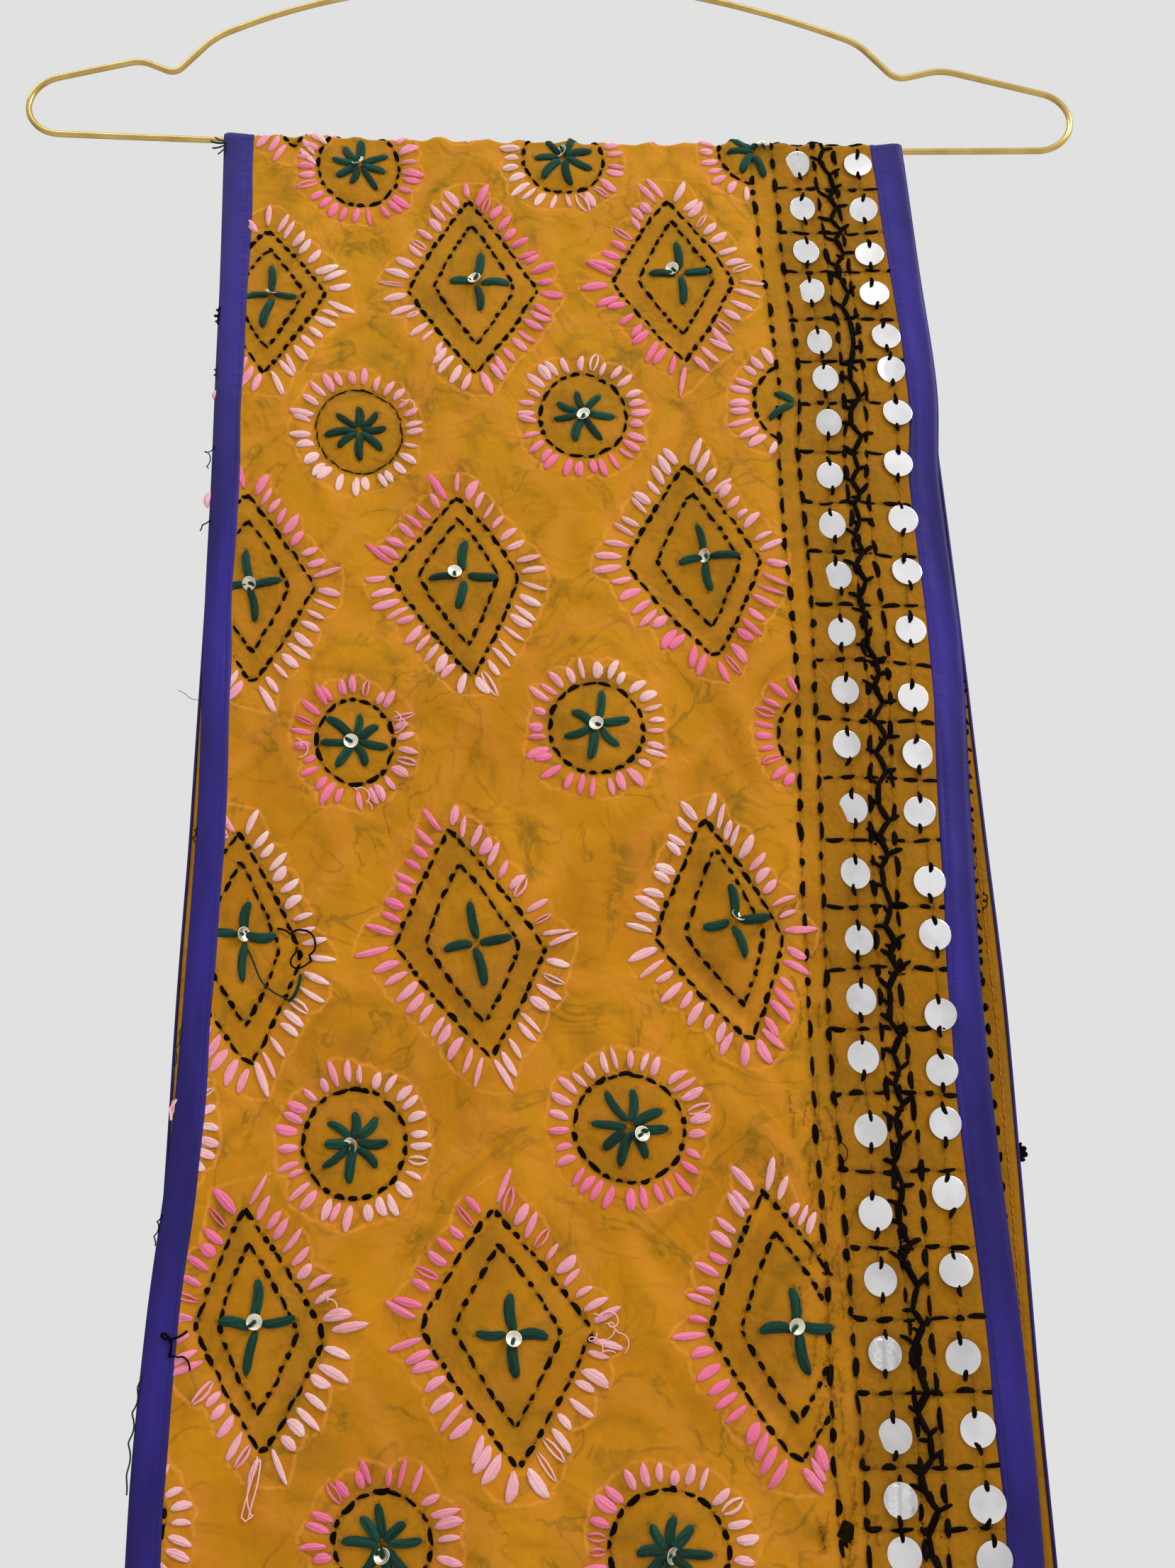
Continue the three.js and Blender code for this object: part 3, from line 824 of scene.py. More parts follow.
def place(a, v, lift):
    # a point of the cloth's middle by its flat place, moved out by lift
    a, v, lift = np.broadcast_arrays(*(np.asarray(value, float) for value in (a, v, lift)))
    row = np.interp(v, alongRows, np.arange(len(alongRows)))
    column = a / (acrossColumns[1] - acrossColumns[0])
    r = np.clip(row.astype(int), 0, len(alongRows) - 2)
    c = np.clip(np.floor(column).astype(int), 0, len(acrossColumns) - 2)
    tr = (row - r)[..., None]
    tc = (column - c)[..., None]

    def blend(field):
        low = field[r, c] * (1 - tc) + field[r, c + 1] * tc
        high = field[r + 1, c] * (1 - tc) + field[r + 1, c + 1] * tc
        return low * (1 - tr) + high * tr

    out = blend(clothNormals)
    out /= np.linalg.norm(out, axis=-1)[..., None]
    return blend(clothPoints) + out * lift[..., None]


def startFresh():
    if bpy.context.object and bpy.context.object.mode != "OBJECT":
        bpy.ops.object.mode_set(mode="OBJECT")
    bpy.ops.object.select_all(action="DESELECT")


def selectOnly(piece):
    startFresh()
    piece.select_set(True)
    bpy.context.view_layer.objects.active = piece


def editMode(editing):
    bpy.ops.object.mode_set(mode="EDIT" if editing else "OBJECT")


def selectFaces(action="SELECT"):
    bpy.ops.mesh.select_all(action=action)


def finishPiece(piece, name, finish, smooth=True):
    material, slot = finishes[finish]
    piece.name = name
    piece.data.name = name
    piece.data.materials.clear()
    piece.data.materials.append(material)
    piece.data.polygons.foreach_set("use_smooth", [smooth] * len(piece.data.polygons))
    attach(piece, "root")
    return piece


def addField(mesh, name, values):
    # a number for each vertex, which the materials read
    layer = mesh.attributes.new(name, "FLOAT", "POINT")
    layer.data.foreach_set("value", np.asarray(values, np.float32).ravel())


def addUv(mesh, name, places):
    layer = mesh.uv_layers.new(name=name)
    layer.data.foreach_set("uv", np.asarray(places, np.float32).ravel())


def cornersOf(mesh):
    # the vertex at each face corner; the primitive's own UV map goes
    corner = np.zeros(len(mesh.loops), np.int32)
    mesh.loops.foreach_get("vertex_index", corner)
    for layer in list(mesh.uv_layers):
        mesh.uv_layers.remove(layer)
    return corner


def gridMesh(name, points):
    # a grid added as a plane of squares and laid on points, rows by columns
    rows, columns = points.shape[:2]
    startFresh()
    bpy.ops.mesh.primitive_grid_add(x_subdivisions=columns - 1, y_subdivisions=rows - 1, size=1)
    piece = bpy.context.object
    piece.name = name
    piece.data.vertices.foreach_set("co", (points.reshape(-1, 3) * mm).astype(np.float32).ravel())
    piece.data.update()
    return piece


def solidify(piece, **settings):
    modifier = piece.modifiers.new("Solidify", "SOLIDIFY")
    for key, value in settings.items():
        setattr(modifier, key, value)
    selectOnly(piece)
    bpy.ops.object.modifier_apply(modifier=modifier.name)


def templateOf(piece):
    # reads a small modelled shape as vertices and faces, then clears it away
    mesh = piece.data
    points = np.zeros(len(mesh.vertices) * 3)
    mesh.vertices.foreach_get("co", points)
    faces = [list(face.vertices) for face in mesh.polygons]
    bpy.data.objects.remove(piece)
    return points.reshape(-1, 3), faces


def joinCopies(name, template, copies, finish, uvOf=None, shades=None, smooth=True):
    # copies is (count, vertices, 3) in millimetres
    points, faces = template
    count = len(copies)
    flat = np.concatenate([np.array(face) for face in faces])
    loops = (flat[None, :] + (np.arange(count) * len(points))[:, None]).ravel()
    totals = np.tile([len(face) for face in faces], count)
    starts = np.concatenate([[0], np.cumsum(totals)[:-1]])
    mesh = bpy.data.meshes.new(name)
    mesh.vertices.add(count * len(points))
    mesh.vertices.foreach_set("co", (copies.reshape(-1) * mm).astype(np.float32))
    mesh.loops.add(len(loops))
    mesh.loops.foreach_set("vertex_index", loops.astype(np.int32))
    mesh.polygons.add(len(totals))
    mesh.polygons.foreach_set("loop_start", starts.astype(np.int32))
    mesh.update(calc_edges=True)
    if shades is not None:
        addField(mesh, "shade", np.repeat(shades, len(points)))
    if uvOf is not None:
        addUv(mesh, "thread", uvOf.reshape(-1, 2)[loops])
    mesh.validate()
    piece = bpy.data.objects.new(name, mesh)
    bpy.context.scene.collection.objects.link(piece)
    return finishPiece(piece, name, finish, smooth)


class Socket:
    # an output that works in sums, so shader maths reads as an expression
    def __init__(self, nodes, output):
        self.nodes = nodes
        self.output = output

    def maths(self, operation, *values):
        return self.nodes.node("ShaderNodeMath", {"operation": operation}, dict(enumerate(values)))

    def __add__(self, other):
        return self.maths("ADD", self, other)

    def __radd__(self, other):
        return self.maths("ADD", other, self)

    def __sub__(self, other):
        return self.maths("SUBTRACT", self, other)

    def __rsub__(self, other):
        return self.maths("SUBTRACT", other, self)

    def __mul__(self, other):
        return self.maths("MULTIPLY", self, other)

    def __rmul__(self, other):
        return self.maths("MULTIPLY", other, self)

    def __abs__(self):
        return self.maths("ABSOLUTE", self)

    def between(self, low, high):
        # 0 below low, 1 above high, smooth in between; high may be the smaller
        ends = {"Value": self, "From Min": low, "From Max": high}
        return self.nodes.node("ShaderNodeMapRange", {"interpolation_type": "SMOOTHSTEP"}, ends)


class Nodes:
    def __init__(self, tree):
        self.tree = tree

    def node(self, kind, settings=None, inputs=None, output=0):
        made = self.tree.nodes.new(kind)
        for key, value in (settings or {}).items():
            setattr(made, key, value)
        for key, value in (inputs or {}).items():
            if isinstance(value, Socket):
                self.tree.links.new(value.output, made.inputs[key])
            else:
                made.inputs[key].default_value = value
        return Socket(self, made.outputs[output])

    def mix(self, factor, low, high):
        return self.node("ShaderNodeMix", {"data_type": "RGBA"}, {0: factor, 6: low, 7: high}, output=2)

    def noise(self, vector, scale, detail=2.0, roughness=0.5, distortion=0.0):
        inputs = {"Vector": vector, "Scale": scale, "Detail": detail}
        inputs.update({"Roughness": roughness, "Distortion": distortion})
        return self.node("ShaderNodeTexNoise", None, inputs)

    def stretched(self, vector, *scale):
        return self.node("ShaderNodeMapping", None, {"Vector": vector, "Scale": scale})

    def part(self, vector, axis):
        return self.node("ShaderNodeSeparateXYZ", None, {"Vector": vector}, output=axis)

    def objectPlace(self):
        return self.node("ShaderNodeTexCoord", output=3)

    def uv(self, name):
        return self.node("ShaderNodeUVMap", {"uv_map": name})

    def attribute(self, name):
        return self.node("ShaderNodeAttribute", {"attribute_name": name}, output=2)


class Shader(Nodes):
    def __init__(self, name, **constants):
        self.material = bpy.data.materials.new(name)
        self.material.use_nodes = True
        super().__init__(self.material.node_tree)
        self.surface = self.tree.nodes["Principled BSDF"]
        for key, value in constants.items():
            self.surface.inputs[key.replace("_", " ")].default_value = value

    def feed(self, **links):
        for key, value in links.items():
            self.tree.links.new(value.output, self.surface.inputs[key.replace("_", " ")])

    def bump(self, height, strength, distance):
        inputs = {"Height": height, "Strength": strength, "Distance": distance}
        return self.node("ShaderNodeBump", None, inputs)


def rgb(red, green, blue):
    # a display colour from 0 to 255, as the linear values that sockets hold
    def linear(value):
        value /= 255
        return value / 12.92 if value < 0.04045 else ((value + 0.055) / 1.055) ** 2.4

    return (linear(red), linear(green), linear(blue), 1.0)


def clothMaterial():
    shader = Shader("mustardGeorgette", Roughness=0.85, Sheen_Weight=0.04, Sheen_Roughness=0.5,
                    Specular_IOR_Level=0.1)
    flat = shader.uv("flat")
    threads = shader.uv("threads")
    tint, ring, behind = (shader.attribute(name) for name in ("tint", "ring", "behind"))
    broad = shader.noise(flat, 22, 3)
    blotch = shader.noise(shader.stretched(flat, 1, 0.7, 1), 48, 4, 0.6)
    smoke = shader.noise(flat, 30, 5, distortion=1.6)
    fine = shader.noise(flat, 620, 3, 0.7)
    high = shader.part(flat, 1)
    vein = abs(smoke - 0.5).between(0.036, 0.0) * blotch.between(0.38, 0.6)
    colour = shader.mix(broad.between(0.36, 0.66), rgb(189, 126, 12), rgb(177, 114, 11))
    layers = (  # each lies over those before it
        (high.between(0.55, 0.88) * 0.6, (180, 128, 14)),  # the part nearest the bar is yellower
        (ring * 0.26, (210, 132, 38)),
        (vein * 0.52 * (1 - tint), (90, 78, 22)),
        (blotch.between(0.5, 0.7) * 0.3 * (1 - tint), (134, 98, 16)),
        (behind.between(0.0, 1.0) * 0.34, (100, 78, 20)),
        (behind.between(0.0, -1.0) * 0.32, (208, 130, 50)),
        (tint * (0.72 + 0.2 * fine.between(0.4, 0.64)), (136, 90, 8)),
        (tint * blotch.between(0.45, 0.65) * 0.4, (112, 80, 12)),
    )
    for share, tone in layers:
        colour = shader.mix(share, colour, rgb(*tone))
    offThread = abs(shader.part(threads, 0)) + (fine - 0.5) * 0.5
    onThread = shader.part(threads, 1)
    line = offThread.between(0.9, 0.3) * onThread.between(-0.3, -0.1) * onThread.between(1.3, 1.1)
    colour = shader.mix(line * 0.42 * blotch.between(0.25, 0.55), colour, rgb(226, 146, 58))
    weave = shader.noise(shader.stretched(flat, 1, 0.55, 1), 900, 2, 0.6)
    crinkle = shader.noise(shader.stretched(flat, 1, 0.6, 1), 240, 3, 0.55)
    fold = shader.noise(flat, 70, distortion=0.8)
    height = weave * 0.16 + crinkle * (0.3 + 0.7 * tint + 0.5 * ring) + fold * 2.2
    shader.feed(Base_Color=colour, Normal=shader.bump(height, 0.75, 0.001))
    return shader.material


def ribbonMaterial():
    shader = Shader("purpleSatin", Roughness=0.46, Specular_IOR_Level=0.2)
    flat = shader.uv("flat")
    inset = shader.attribute("inset")
    sway = shader.noise(shader.stretched(flat, 1, 0.3, 1), 38, 3)
    colour = shader.mix(sway.between(0.36, 0.66), rgb(28, 17, 92), rgb(44, 30, 125))
    # painted shade: the satin is darker towards the outer edge, where the ribbon rolls round it
    colour = shader.mix(inset.between(4.5, 1.6) * 0.4, colour, rgb(27, 17, 80))
    colour = shader.mix(abs(inset - 8.4).between(0.5, 0.1) * 0.4, colour, rgb(20, 13, 58))
    ribs = shader.noise(shader.stretched(flat, 0.12, 1, 1), 900, 2, 0.6)
    pucker = shader.noise(shader.stretched(flat, 0.5, 1, 1), 260) * abs(inset - 8.0).between(3.6, 0.2)
    fold = shader.noise(shader.stretched(flat, 1, 0.45, 1), 60)
    shader.feed(Base_Color=colour, Normal=shader.bump(ribs * 0.15 + pucker * 0.9 + fold * 1.6, 0.45, 0.0008))
    return shader.material


def threadMaterial(name, low, high, roughness, strands, sheen, grooveShade=None, depth=0.45, shine=0.2):
    # floss: fine strands along the stitch, with painted shade in the grooves between them, and a colour of
    # its own for each stitch
    shader = Shader(name, Roughness=roughness, Sheen_Weight=sheen, Sheen_Roughness=0.4,
                    Specular_IOR_Level=shine)
    strand = shader.noise(shader.stretched(shader.uv("thread"), 0.35, strands, 1), 4.0, 2, 0.55)
    colour = shader.mix(shader.attribute("shade"), rgb(*low), rgb(*high))
    # painted shade: the grooves between the strands are mixed towards the groove colour, or the low colour
    # when none is given
    colour = shader.mix(strand.between(0.6, 0.36) * depth, colour, rgb(*(grooveShade or low)))
    shader.feed(Base_Color=colour, Normal=shader.bump(strand, 0.6, 0.0008))
    return shader.material


def fuzzAndShadeMaterial():
    # dark see-through strips: loose fibres and the thread below the cloth, and partly painted shade round and
    # under the stitches
    shader = Shader("stitchFuzzAndShade", Roughness=0.9, Specular_IOR_Level=0.05, Base_Color=rgb(46, 32, 12))
    thread = shader.uv("thread")
    cloud = shader.noise(shader.stretched(thread, 1.4, 2.2, 1), 2.0, 3, 0.6)
    fibre = shader.noise(shader.stretched(thread, 1, 3, 1), 9.0, 3, 0.7)
    off = abs(shader.part(thread, 1) + (cloud - 0.5) * 0.12)
    core = off.between(0.12, 0.02) * fibre.between(0.42, 0.62) * 0.34
    haze = off.between(0.48, 0.08) * (0.2 + 0.6 * fibre.between(0.5, 0.72)) * cloud.between(0.4, 0.66)
    shader.feed(Alpha=core + haze * 0.75)
    return shader.material


def metalMaterial(name, metallic, scale, band, low, high, roughness, haze):
    # bright metal with a faint uneven haze
    shader = Shader(name, Metallic=metallic)
    cloud = shader.noise(shader.objectPlace(), scale)
    colour = shader.mix(cloud.between(*band), rgb(*low), rgb(*high))
    shader.feed(Base_Color=colour, Roughness=roughness + cloud * haze)
    return shader.material


pinkFloss = threadMaterial("pinkFloss", (235, 114, 154), (238, 206, 201), 0.8, 2.6, 0.2,
                           (214, 118, 136), 0.32)
greenFloss = threadMaterial("greenFloss", (14, 50, 36), (24, 74, 55), 0.9, 1.6, 0.15, (4, 26, 20), 0.7)
blackFloss = threadMaterial("blackFloss", (9, 6, 5), (21, 15, 12), 0.92, 2, 0, None, 0.4, 0.04)
silver = metalMaterial("silverPaillette", 1.0, 90, (0.35, 0.7),
                       (232, 231, 232), (214, 212, 213), 0.14, 0.12)
champagne = metalMaterial("champagneSequin", 0.85, 300, (0.35, 0.7),
                          (240, 236, 222), (214, 204, 180), 0.3, 0.2)
brass = metalMaterial("brassWire", 1.0, 90, (0.3, 0.75), (208, 180, 110), (188, 156, 88), 0.17, 0.05)
finishes = {  # material and the record's slot
    "cloth": (clothMaterial(), "cloth"),
    "ribbon": (ribbonMaterial(), "ribbon"),
    "seam": (threadMaterial("ribbonSeam", (24, 17, 70), (40, 29, 100), 0.6, 3, 0.1), "ribbon"),
    "pink": (pinkFloss, "pink_thread"),
    "green": (greenFloss, "green_thread"),
    "black": (blackFloss, "black_thread"),
    "fuzzAndShade": (fuzzAndShadeMaterial(), "black_thread"),
    "orange": (threadMaterial("orangeThread", (184, 88, 26), (208, 116, 42), 0.8, 3, 0.1), "orange_thread"),
    "mirror": (silver, "mirror"),
    "sequin": (champagne, "mirror"),
    "wire": (brass, "wire"),
}
print("materials:", len(finishes))


def nearestThread(centres):
    # for each face, the wrong-side thread nearest to its centre
    farAway = 9.0
    best = np.full(len(centres), farAway)
    found = np.full(len(centres), -1)
    for index, (start, end) in enumerate(reverseThreads):
        low = np.minimum(start, end) - 5
        high = np.maximum(start, end) + 5
        near = np.where(np.all((centres > low) & (centres < high), axis=1))[0]
        if not len(near):
            continue
        way = end - start
        t = np.clip(((centres[near] - start) @ way) / (way @ way), 0, 1)
        gap = np.linalg.norm(centres[near] - start - t[:, None] * way, axis=1)
        closer = gap < best[near]
        best[near[closer]] = gap[closer]
        found[near[closer]] = index
    return found


def threadPlaces(quads):
    # where each face corner lies beside and along its nearest wrong-side thread
    thread = nearestThread(quads.mean(axis=1))
    local = np.full(quads.shape, 9.0)
    has = thread >= 0
    starts = np.array([row[0] for row in reverseThreads])[thread[has]]
    ways = np.array([row[1] for row in reverseThreads])[thread[has]] - starts
    long = np.linalg.norm(ways, axis=1)[:, None]
    unit = ways / long
    off = quads[has] - starts[:, None, :]
    local[has, :, 0] = off[..., 0] * unit[:, None, 1] - off[..., 1] * unit[:, None, 0]
    local[has, :, 1] = (off[..., 0] * unit[:, None, 0] + off[..., 1] * unit[:, None, 1]) / long
    return local


def behindField():
    # the other fall's stitching shows faintly through the sheer cloth
    total = np.zeros(gridA.shape)
    facing = 2 * scarf["fall"] + wrapLength - gridV
    for motif in motifs:
        da = gridA - motif["centre"][0] + 2.5 * softNoise(gridA, gridV, 20, 91)
        dv = facing - motif["centre"][1] + 2.5 * softNoise(gridA, gridV, 20, 92)
        near = closeTo(da, dv)
        if not near.any():
            continue
        reach, size, _ = motifReach(motif, da[near], dv[near])
        edge = (reach - 1) * size
        total[near] += 0.8 * bell(edge, 2.2) + 0.9 * bell(reach * size, 8.0) - 0.8 * bell(edge - 6.5, 4.5)
    return np.clip(total, -1, 1)


tintSettings = {"firstLine": 0.5, "secondLine": 0.4, "motif": 0.42, "ring": 0.08}


def clothTint():
    # darker inside the motifs and in the border, where dark thread lies behind the sheer cloth
    first, second = border["lines"][:2]
    strip = tintSettings["firstLine"] * ramp(gridA, first - 2, first + 1)
    strip = strip + tintSettings["secondLine"] * ramp(gridA, second - 1.5, second + 1.5)
    inside = np.maximum(insideMotif * tintSettings["motif"], strip)
    return np.clip(inside + tintSettings["ring"] * ringMotif, 0, 1)


def makeCloth():
    piece = gridMesh("scarf_cloth", clothPoints)
    mesh = piece.data
    for name, field in {"tint": clothTint(), "ring": ringMotif, "behind": behindField()}.items():
        addField(mesh, name, field)
    flatPlaces = np.stack([gridA.ravel(), gridV.ravel()], -1)[cornersOf(mesh)]
    addUv(mesh, "flat", flatPlaces * mm)
    addUv(mesh, "threads", threadPlaces(flatPlaces.reshape(-1, 4, 2)))
    mesh.uv_layers["flat"].active = True
    solidify(piece, thickness=scarf["thickness"] * mm, offset=0, use_even_offset=False)
    return finishPiece(piece, "scarf_cloth", "cloth")


cloth = makeCloth()
print("cloth:", len(cloth.data.polygons), "faces")

ribbonSection = {  # round the ribbon, from its inner edge on the face to its inner edge on the wrong side
    "inset": [10.4, 10.3, 9.9, 9.0, 8.4, 7.8, 6.4, 4.4, 2.6, 1.4, 0.4, -0.2, -0.5, -0.3, 0.1, 0.6, 0.7,
              -0.1, -0.1, 6.0],
    "lift": [0.27, 0.42, 0.54, 0.58, 0.5, 0.58, 0.64, 0.69, 0.72, 0.72, 0.66, 0.44, 0.0, -0.5, -0.62, -0.6,
             -0.3, -0.28, 0.26, 0.26],
}
ribbonReach = {  # how wide the ribbon's face is, down the front
    "drop": [0, 35, 95, 260, 420, 640, 905],
    "left": [1.12, 1.1, 0.92, 0.84, 0.86, 0.95, 1],
    "right": [1.18, 1.1, 1.06, 1.06, 1.06, 1, 1],
}


def ribbonSurface(isRight):
    inset = np.array(ribbonSection["inset"])
    lift = np.array(ribbonSection["lift"])
    rows = alongRows[:, None]
    onFront = rows < barAlong
    seed = 60 if isRight else 50
    ripple = softNoise(rows, inset[None, :] * 2, 17, seed)
    swell = 1 + 0.28 * softNoise(rows, 0 * rows, 46, seed + 1)
    lifts = lift[None, :] * np.where(lift > 0.5, swell, 1) + np.where(lift > 0.6, 0.1 * ripple, 0)
    insets = np.where(inset < 0, inset * np.where(onFront, 2.3, 1.0), inset)
    reach = readTable(ribbonReach, "right" if isRight else "left", np.clip(clothAlong(rows), 0, None))
    reach = np.where(onFront, reach, reach[-1])
    insets = np.where((inset > 2) & (lift > 0.26), 2 + (insets - 2) * reach, insets)
    insets = insets + np.where(inset > 9.5, 0.3, 0.0) * softNoise(rows, 0 * rows, 30, seed + 2)
    across = scarf["width"] - insets if isRight else insets
    points = place(across, rows + 0 * insets, lifts)
    return (points, inset) if isRight else (points[:, ::-1], inset[::-1])


def makeRibbon(side):
    name = f"ribbon_{side}"
    points, inset = ribbonSurface(side == "right")
    piece = gridMesh(name, np.concatenate([points, points[:, :1]], axis=1))
    mesh = piece.data
    insetField = np.tile(np.append(inset, inset[0]), (len(alongRows), 1))
    addField(mesh, "inset", insetField)
    flat = np.stack([insetField, np.broadcast_to(alongRows[:, None], insetField.shape)], -1)
    addUv(mesh, "flat", flat.reshape(-1, 2)[cornersOf(mesh)] * mm)
    selectOnly(piece)
    editMode(True)
    selectFaces()
    bpy.ops.mesh.remove_doubles(threshold=1e-6)
    selectFaces("DESELECT")
    bpy.ops.mesh.select_non_manifold(extend=False)
    bpy.ops.mesh.edge_face_add()
    selectFaces()
    bpy.ops.mesh.normals_make_consistent(inside=False)
    editMode(False)
    finishPiece(piece, name, "ribbon")
    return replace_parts(piece, *[f"{name}_{stretch}" for stretch in stretches])


stretches = ("front_fall", "over_bar", "back_fall")
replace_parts(cloth, *[f"scarf_{stretch}" for stretch in stretches])
ribbons = [makeRibbon(side) for side in ("left", "right")]


def stitchTemplate(segments, rings):
    # one bundle of thread: a spindle lying along X, its underside cut flat
    startFresh()
    bpy.ops.mesh.primitive_uv_sphere_add(segments=segments, ring_count=rings, radius=0.5)
    piece = bpy.context.object
    piece.rotation_euler = (0, math.pi / 2, 0)
    bpy.ops.object.transform_apply(location=False, rotation=True, scale=False)
    editMode(True)
    selectFaces()
    bpy.ops.mesh.bisect(plane_co=(0, 0, -0.17), plane_no=(0, 0, -1), clear_outer=True, use_fill=True)
    editMode(False)
    return templateOf(piece)


def threadUv(x, y, shape):
    return np.stack([np.broadcast_to(x, shape), np.broadcast_to(y, shape)], -1)


def layStitches(name, rows, template, finish, form=(2.6, 0.6), side=1):
    # lays each stitch's template on the cloth, bent to its surface, with blunt ends that dive into the cloth
    table = np.array(rows, float)
    a, v, turn, length, width, height, lift, shade, aside = table.T[:, :, None]
    x, y, z = template[0].T[:, None, :]
    ball = np.sqrt(np.clip(1 - (2 * x) ** 2, 0.03, 1))
    bundle = np.clip(1 - np.abs(2 * x) ** form[0], 0, 1) ** form[1] / ball
    bow = 0.3 * width * np.sin(shade * 40) * ((2 * x) ** 2 - 0.4) + aside * (1 - np.abs(2 * x) ** 2.8)
    spotA = a + x * length * np.cos(turn) - (y * width * bundle + bow) * np.sin(turn)
    spotV = v + x * length * np.sin(turn) + (y * width * bundle + bow) * np.cos(turn)
    up = lift + (z * bundle + 0.08) * height
    if side > 0:  # the ribbon presses what it covers flat
        inset = np.minimum(spotA, scarf["width"] - spotA)
        up = up * np.where(inset < 0, 1, ramp(inset - scarf["ribbonWidth"], -0.3, 1.3))
    copies = place(spotA, spotV, side * (clothSkin + (up + 0.03)))
    uv = threadUv(x * length / 10 + shade * 7, y * width / 3 + shade * 3, spotA.shape)
    return joinCopies(name, template, copies, finish, uvOf=uv, shades=table[:, 7])


machineStitch = {"step": 2.75, "ribbonInset": 6.4, "wrongSide": 276.2, "wrongSideStep": 2.9, "hemStep": 2.9}


def ribbonSeam():
    rows = []
    for side in ("left", "right"):
        v = 1.5
        while v < scarfLength - 2:
            reach = float(readTable(ribbonReach, side, max(clothAlong(v), 0)))
            inset = 2 + machineStitch["ribbonInset"] * (reach if v < barAlong else 1)
            across = inset if side == "left" else scarf["width"] - inset
            rows.append((across, v, upright + dice.gauss(0, 0.04), 2.1, 0.5, 0.35, 0.42, dice.random(), 0))
            v += machineStitch["step"]
    return rows


def wrongSideDashes():
    # the border's stitches on the wrong side of the back fall, which shows past the front one
    rows = []
    for across, pitch, long in ((273.4, 8.7, 3.8), (264.0, 8.7, 4.2)):
        along = scarf["fall"] + wrapLength + 20
        while along < scarfLength - 12:
            rows.append((across + dice.uniform(-0.4, 0.4), along, upright + dice.gauss(0, 0.1),
                         long * dice.uniform(0.7, 1.2), 1.8, 1.2, 0.0, dice.random(), 0))
            along += pitch * dice.uniform(0.85, 1.15)
    return rows


def wrongSideSeam():
    # the thin machine line just inside the turned edge, on the wrong side of the back fall
    rows = []
    for v in np.arange(scarf["fall"] + wrapLength + 12, scarfLength - 10, machineStitch["wrongSideStep"]):
        across = machineStitch["wrongSide"] + dice.uniform(-0.15, 0.15)
        rows.append((across, v, upright + dice.gauss(0, 0.05), 2.6, 0.62, 0.5, 0.0, dice.random(), 0))
    return rows


def hemSeam():
    # the machine line that holds each short hem
    rows = []
    for v in (scarf["hem"][0] - 1.6, scarfLength - scarf["hem"][0] + 1.6):
        for across in np.arange(11.8, scarf["width"] - 11, machineStitch["hemStep"]):
            spot = (across, v + dice.uniform(-0.12, 0.12))
            rows.append((*spot, dice.gauss(0, 0.05), 2.5, 0.55, 0.45, 0.0, dice.random(), 0))
    return rows


def layFuzzAndShade():
    # flat strips round the dark stitches and under the green petals: loose fibres, the thread where it runs
    # below the cloth, and painted shade round and under the stitches
    startFresh()
    bpy.ops.mesh.primitive_grid_add(x_subdivisions=4, y_subdivisions=2, size=1)
    template = templateOf(bpy.context.object)
    table = np.array(stitches["halo"], float)
    a, v, turn, length, width, _, _, shade, _ = table.T[:, :, None]
    x, y = template[0].T[0][None], template[0].T[1][None]
    spotA = a + x * length * np.cos(turn) - y * width * np.sin(turn)
    spotV = v + x * length * np.sin(turn) + y * width * np.cos(turn)
    spotA = np.clip(spotA, 9.8, scarf["width"] - 9.8)
    copies = place(spotA, np.clip(spotV, 1, scarfLength - 1), clothSkin + 0.06 + 0.1 * shade)
    uv = threadUv(x * length / 5 + shade * 40, y + 0 * a, spotA.shape)
    return joinCopies("stitch_fuzz_and_shade", template, copies, "fuzzAndShade", uvOf=uv, shades=table[:, 7])


tinyStitch = stitchTemplate(4, 3)
seams = layStitches("ribbon_seams", ribbonSeam(), tinyStitch, "seam")
print("ribbons done")
fineStitch = stitchTemplate(10, 7)
plainStitch = stitchTemplate(6, 5)
strandStitch = stitchTemplate(5, 5)
coarseStitch = stitchTemplate(5, 4)
embroidery = []
for kind, prefix, frontStitch, form in (
    ("pink", "pink_petals", strandStitch, (3.1, 0.58)),
    ("black", "black_stitches", plainStitch, (3.2, 0.55)),
):
    front = [row for row in stitches[kind] if row[1] <= barAlong]
    back = [row for row in stitches[kind] if row[1] > barAlong]
    embroidery.append(layStitches(f"{prefix}_front", front, frontStitch, kind, form))
    embroidery.append(layStitches(f"{prefix}_back", back, coarseStitch, kind, form))
embroidery.append(layStitches("green_petals", stitches["green"], fineStitch, "green", (4.2, 0.52)))
embroidery.append(layFuzzAndShade())
embroidery.append(layStitches("wrong_side_dashes", wrongSideDashes(), plainStitch, "black", side=-1))
embroidery.append(layStitches("orange_seam", wrongSideSeam(), tinyStitch, "orange", side=-1))
embroidery.append(layStitches("hem_seam", hemSeam(), tinyStitch, "orange"))

disc = {
    "share": 0.965,  # of the border's mirror size
    "clear": 0.7,  # above the cloth
    "tip": (0.05, 0.26),  # right column, left column
    "tipAxis": (0.5, -0.87, 0),
    "oval": (0.15, 0.09),  # in the left column, and how much less lower down
}
sequin = {"size": 5.3, "clear": 0.9, "tip": 0.3}


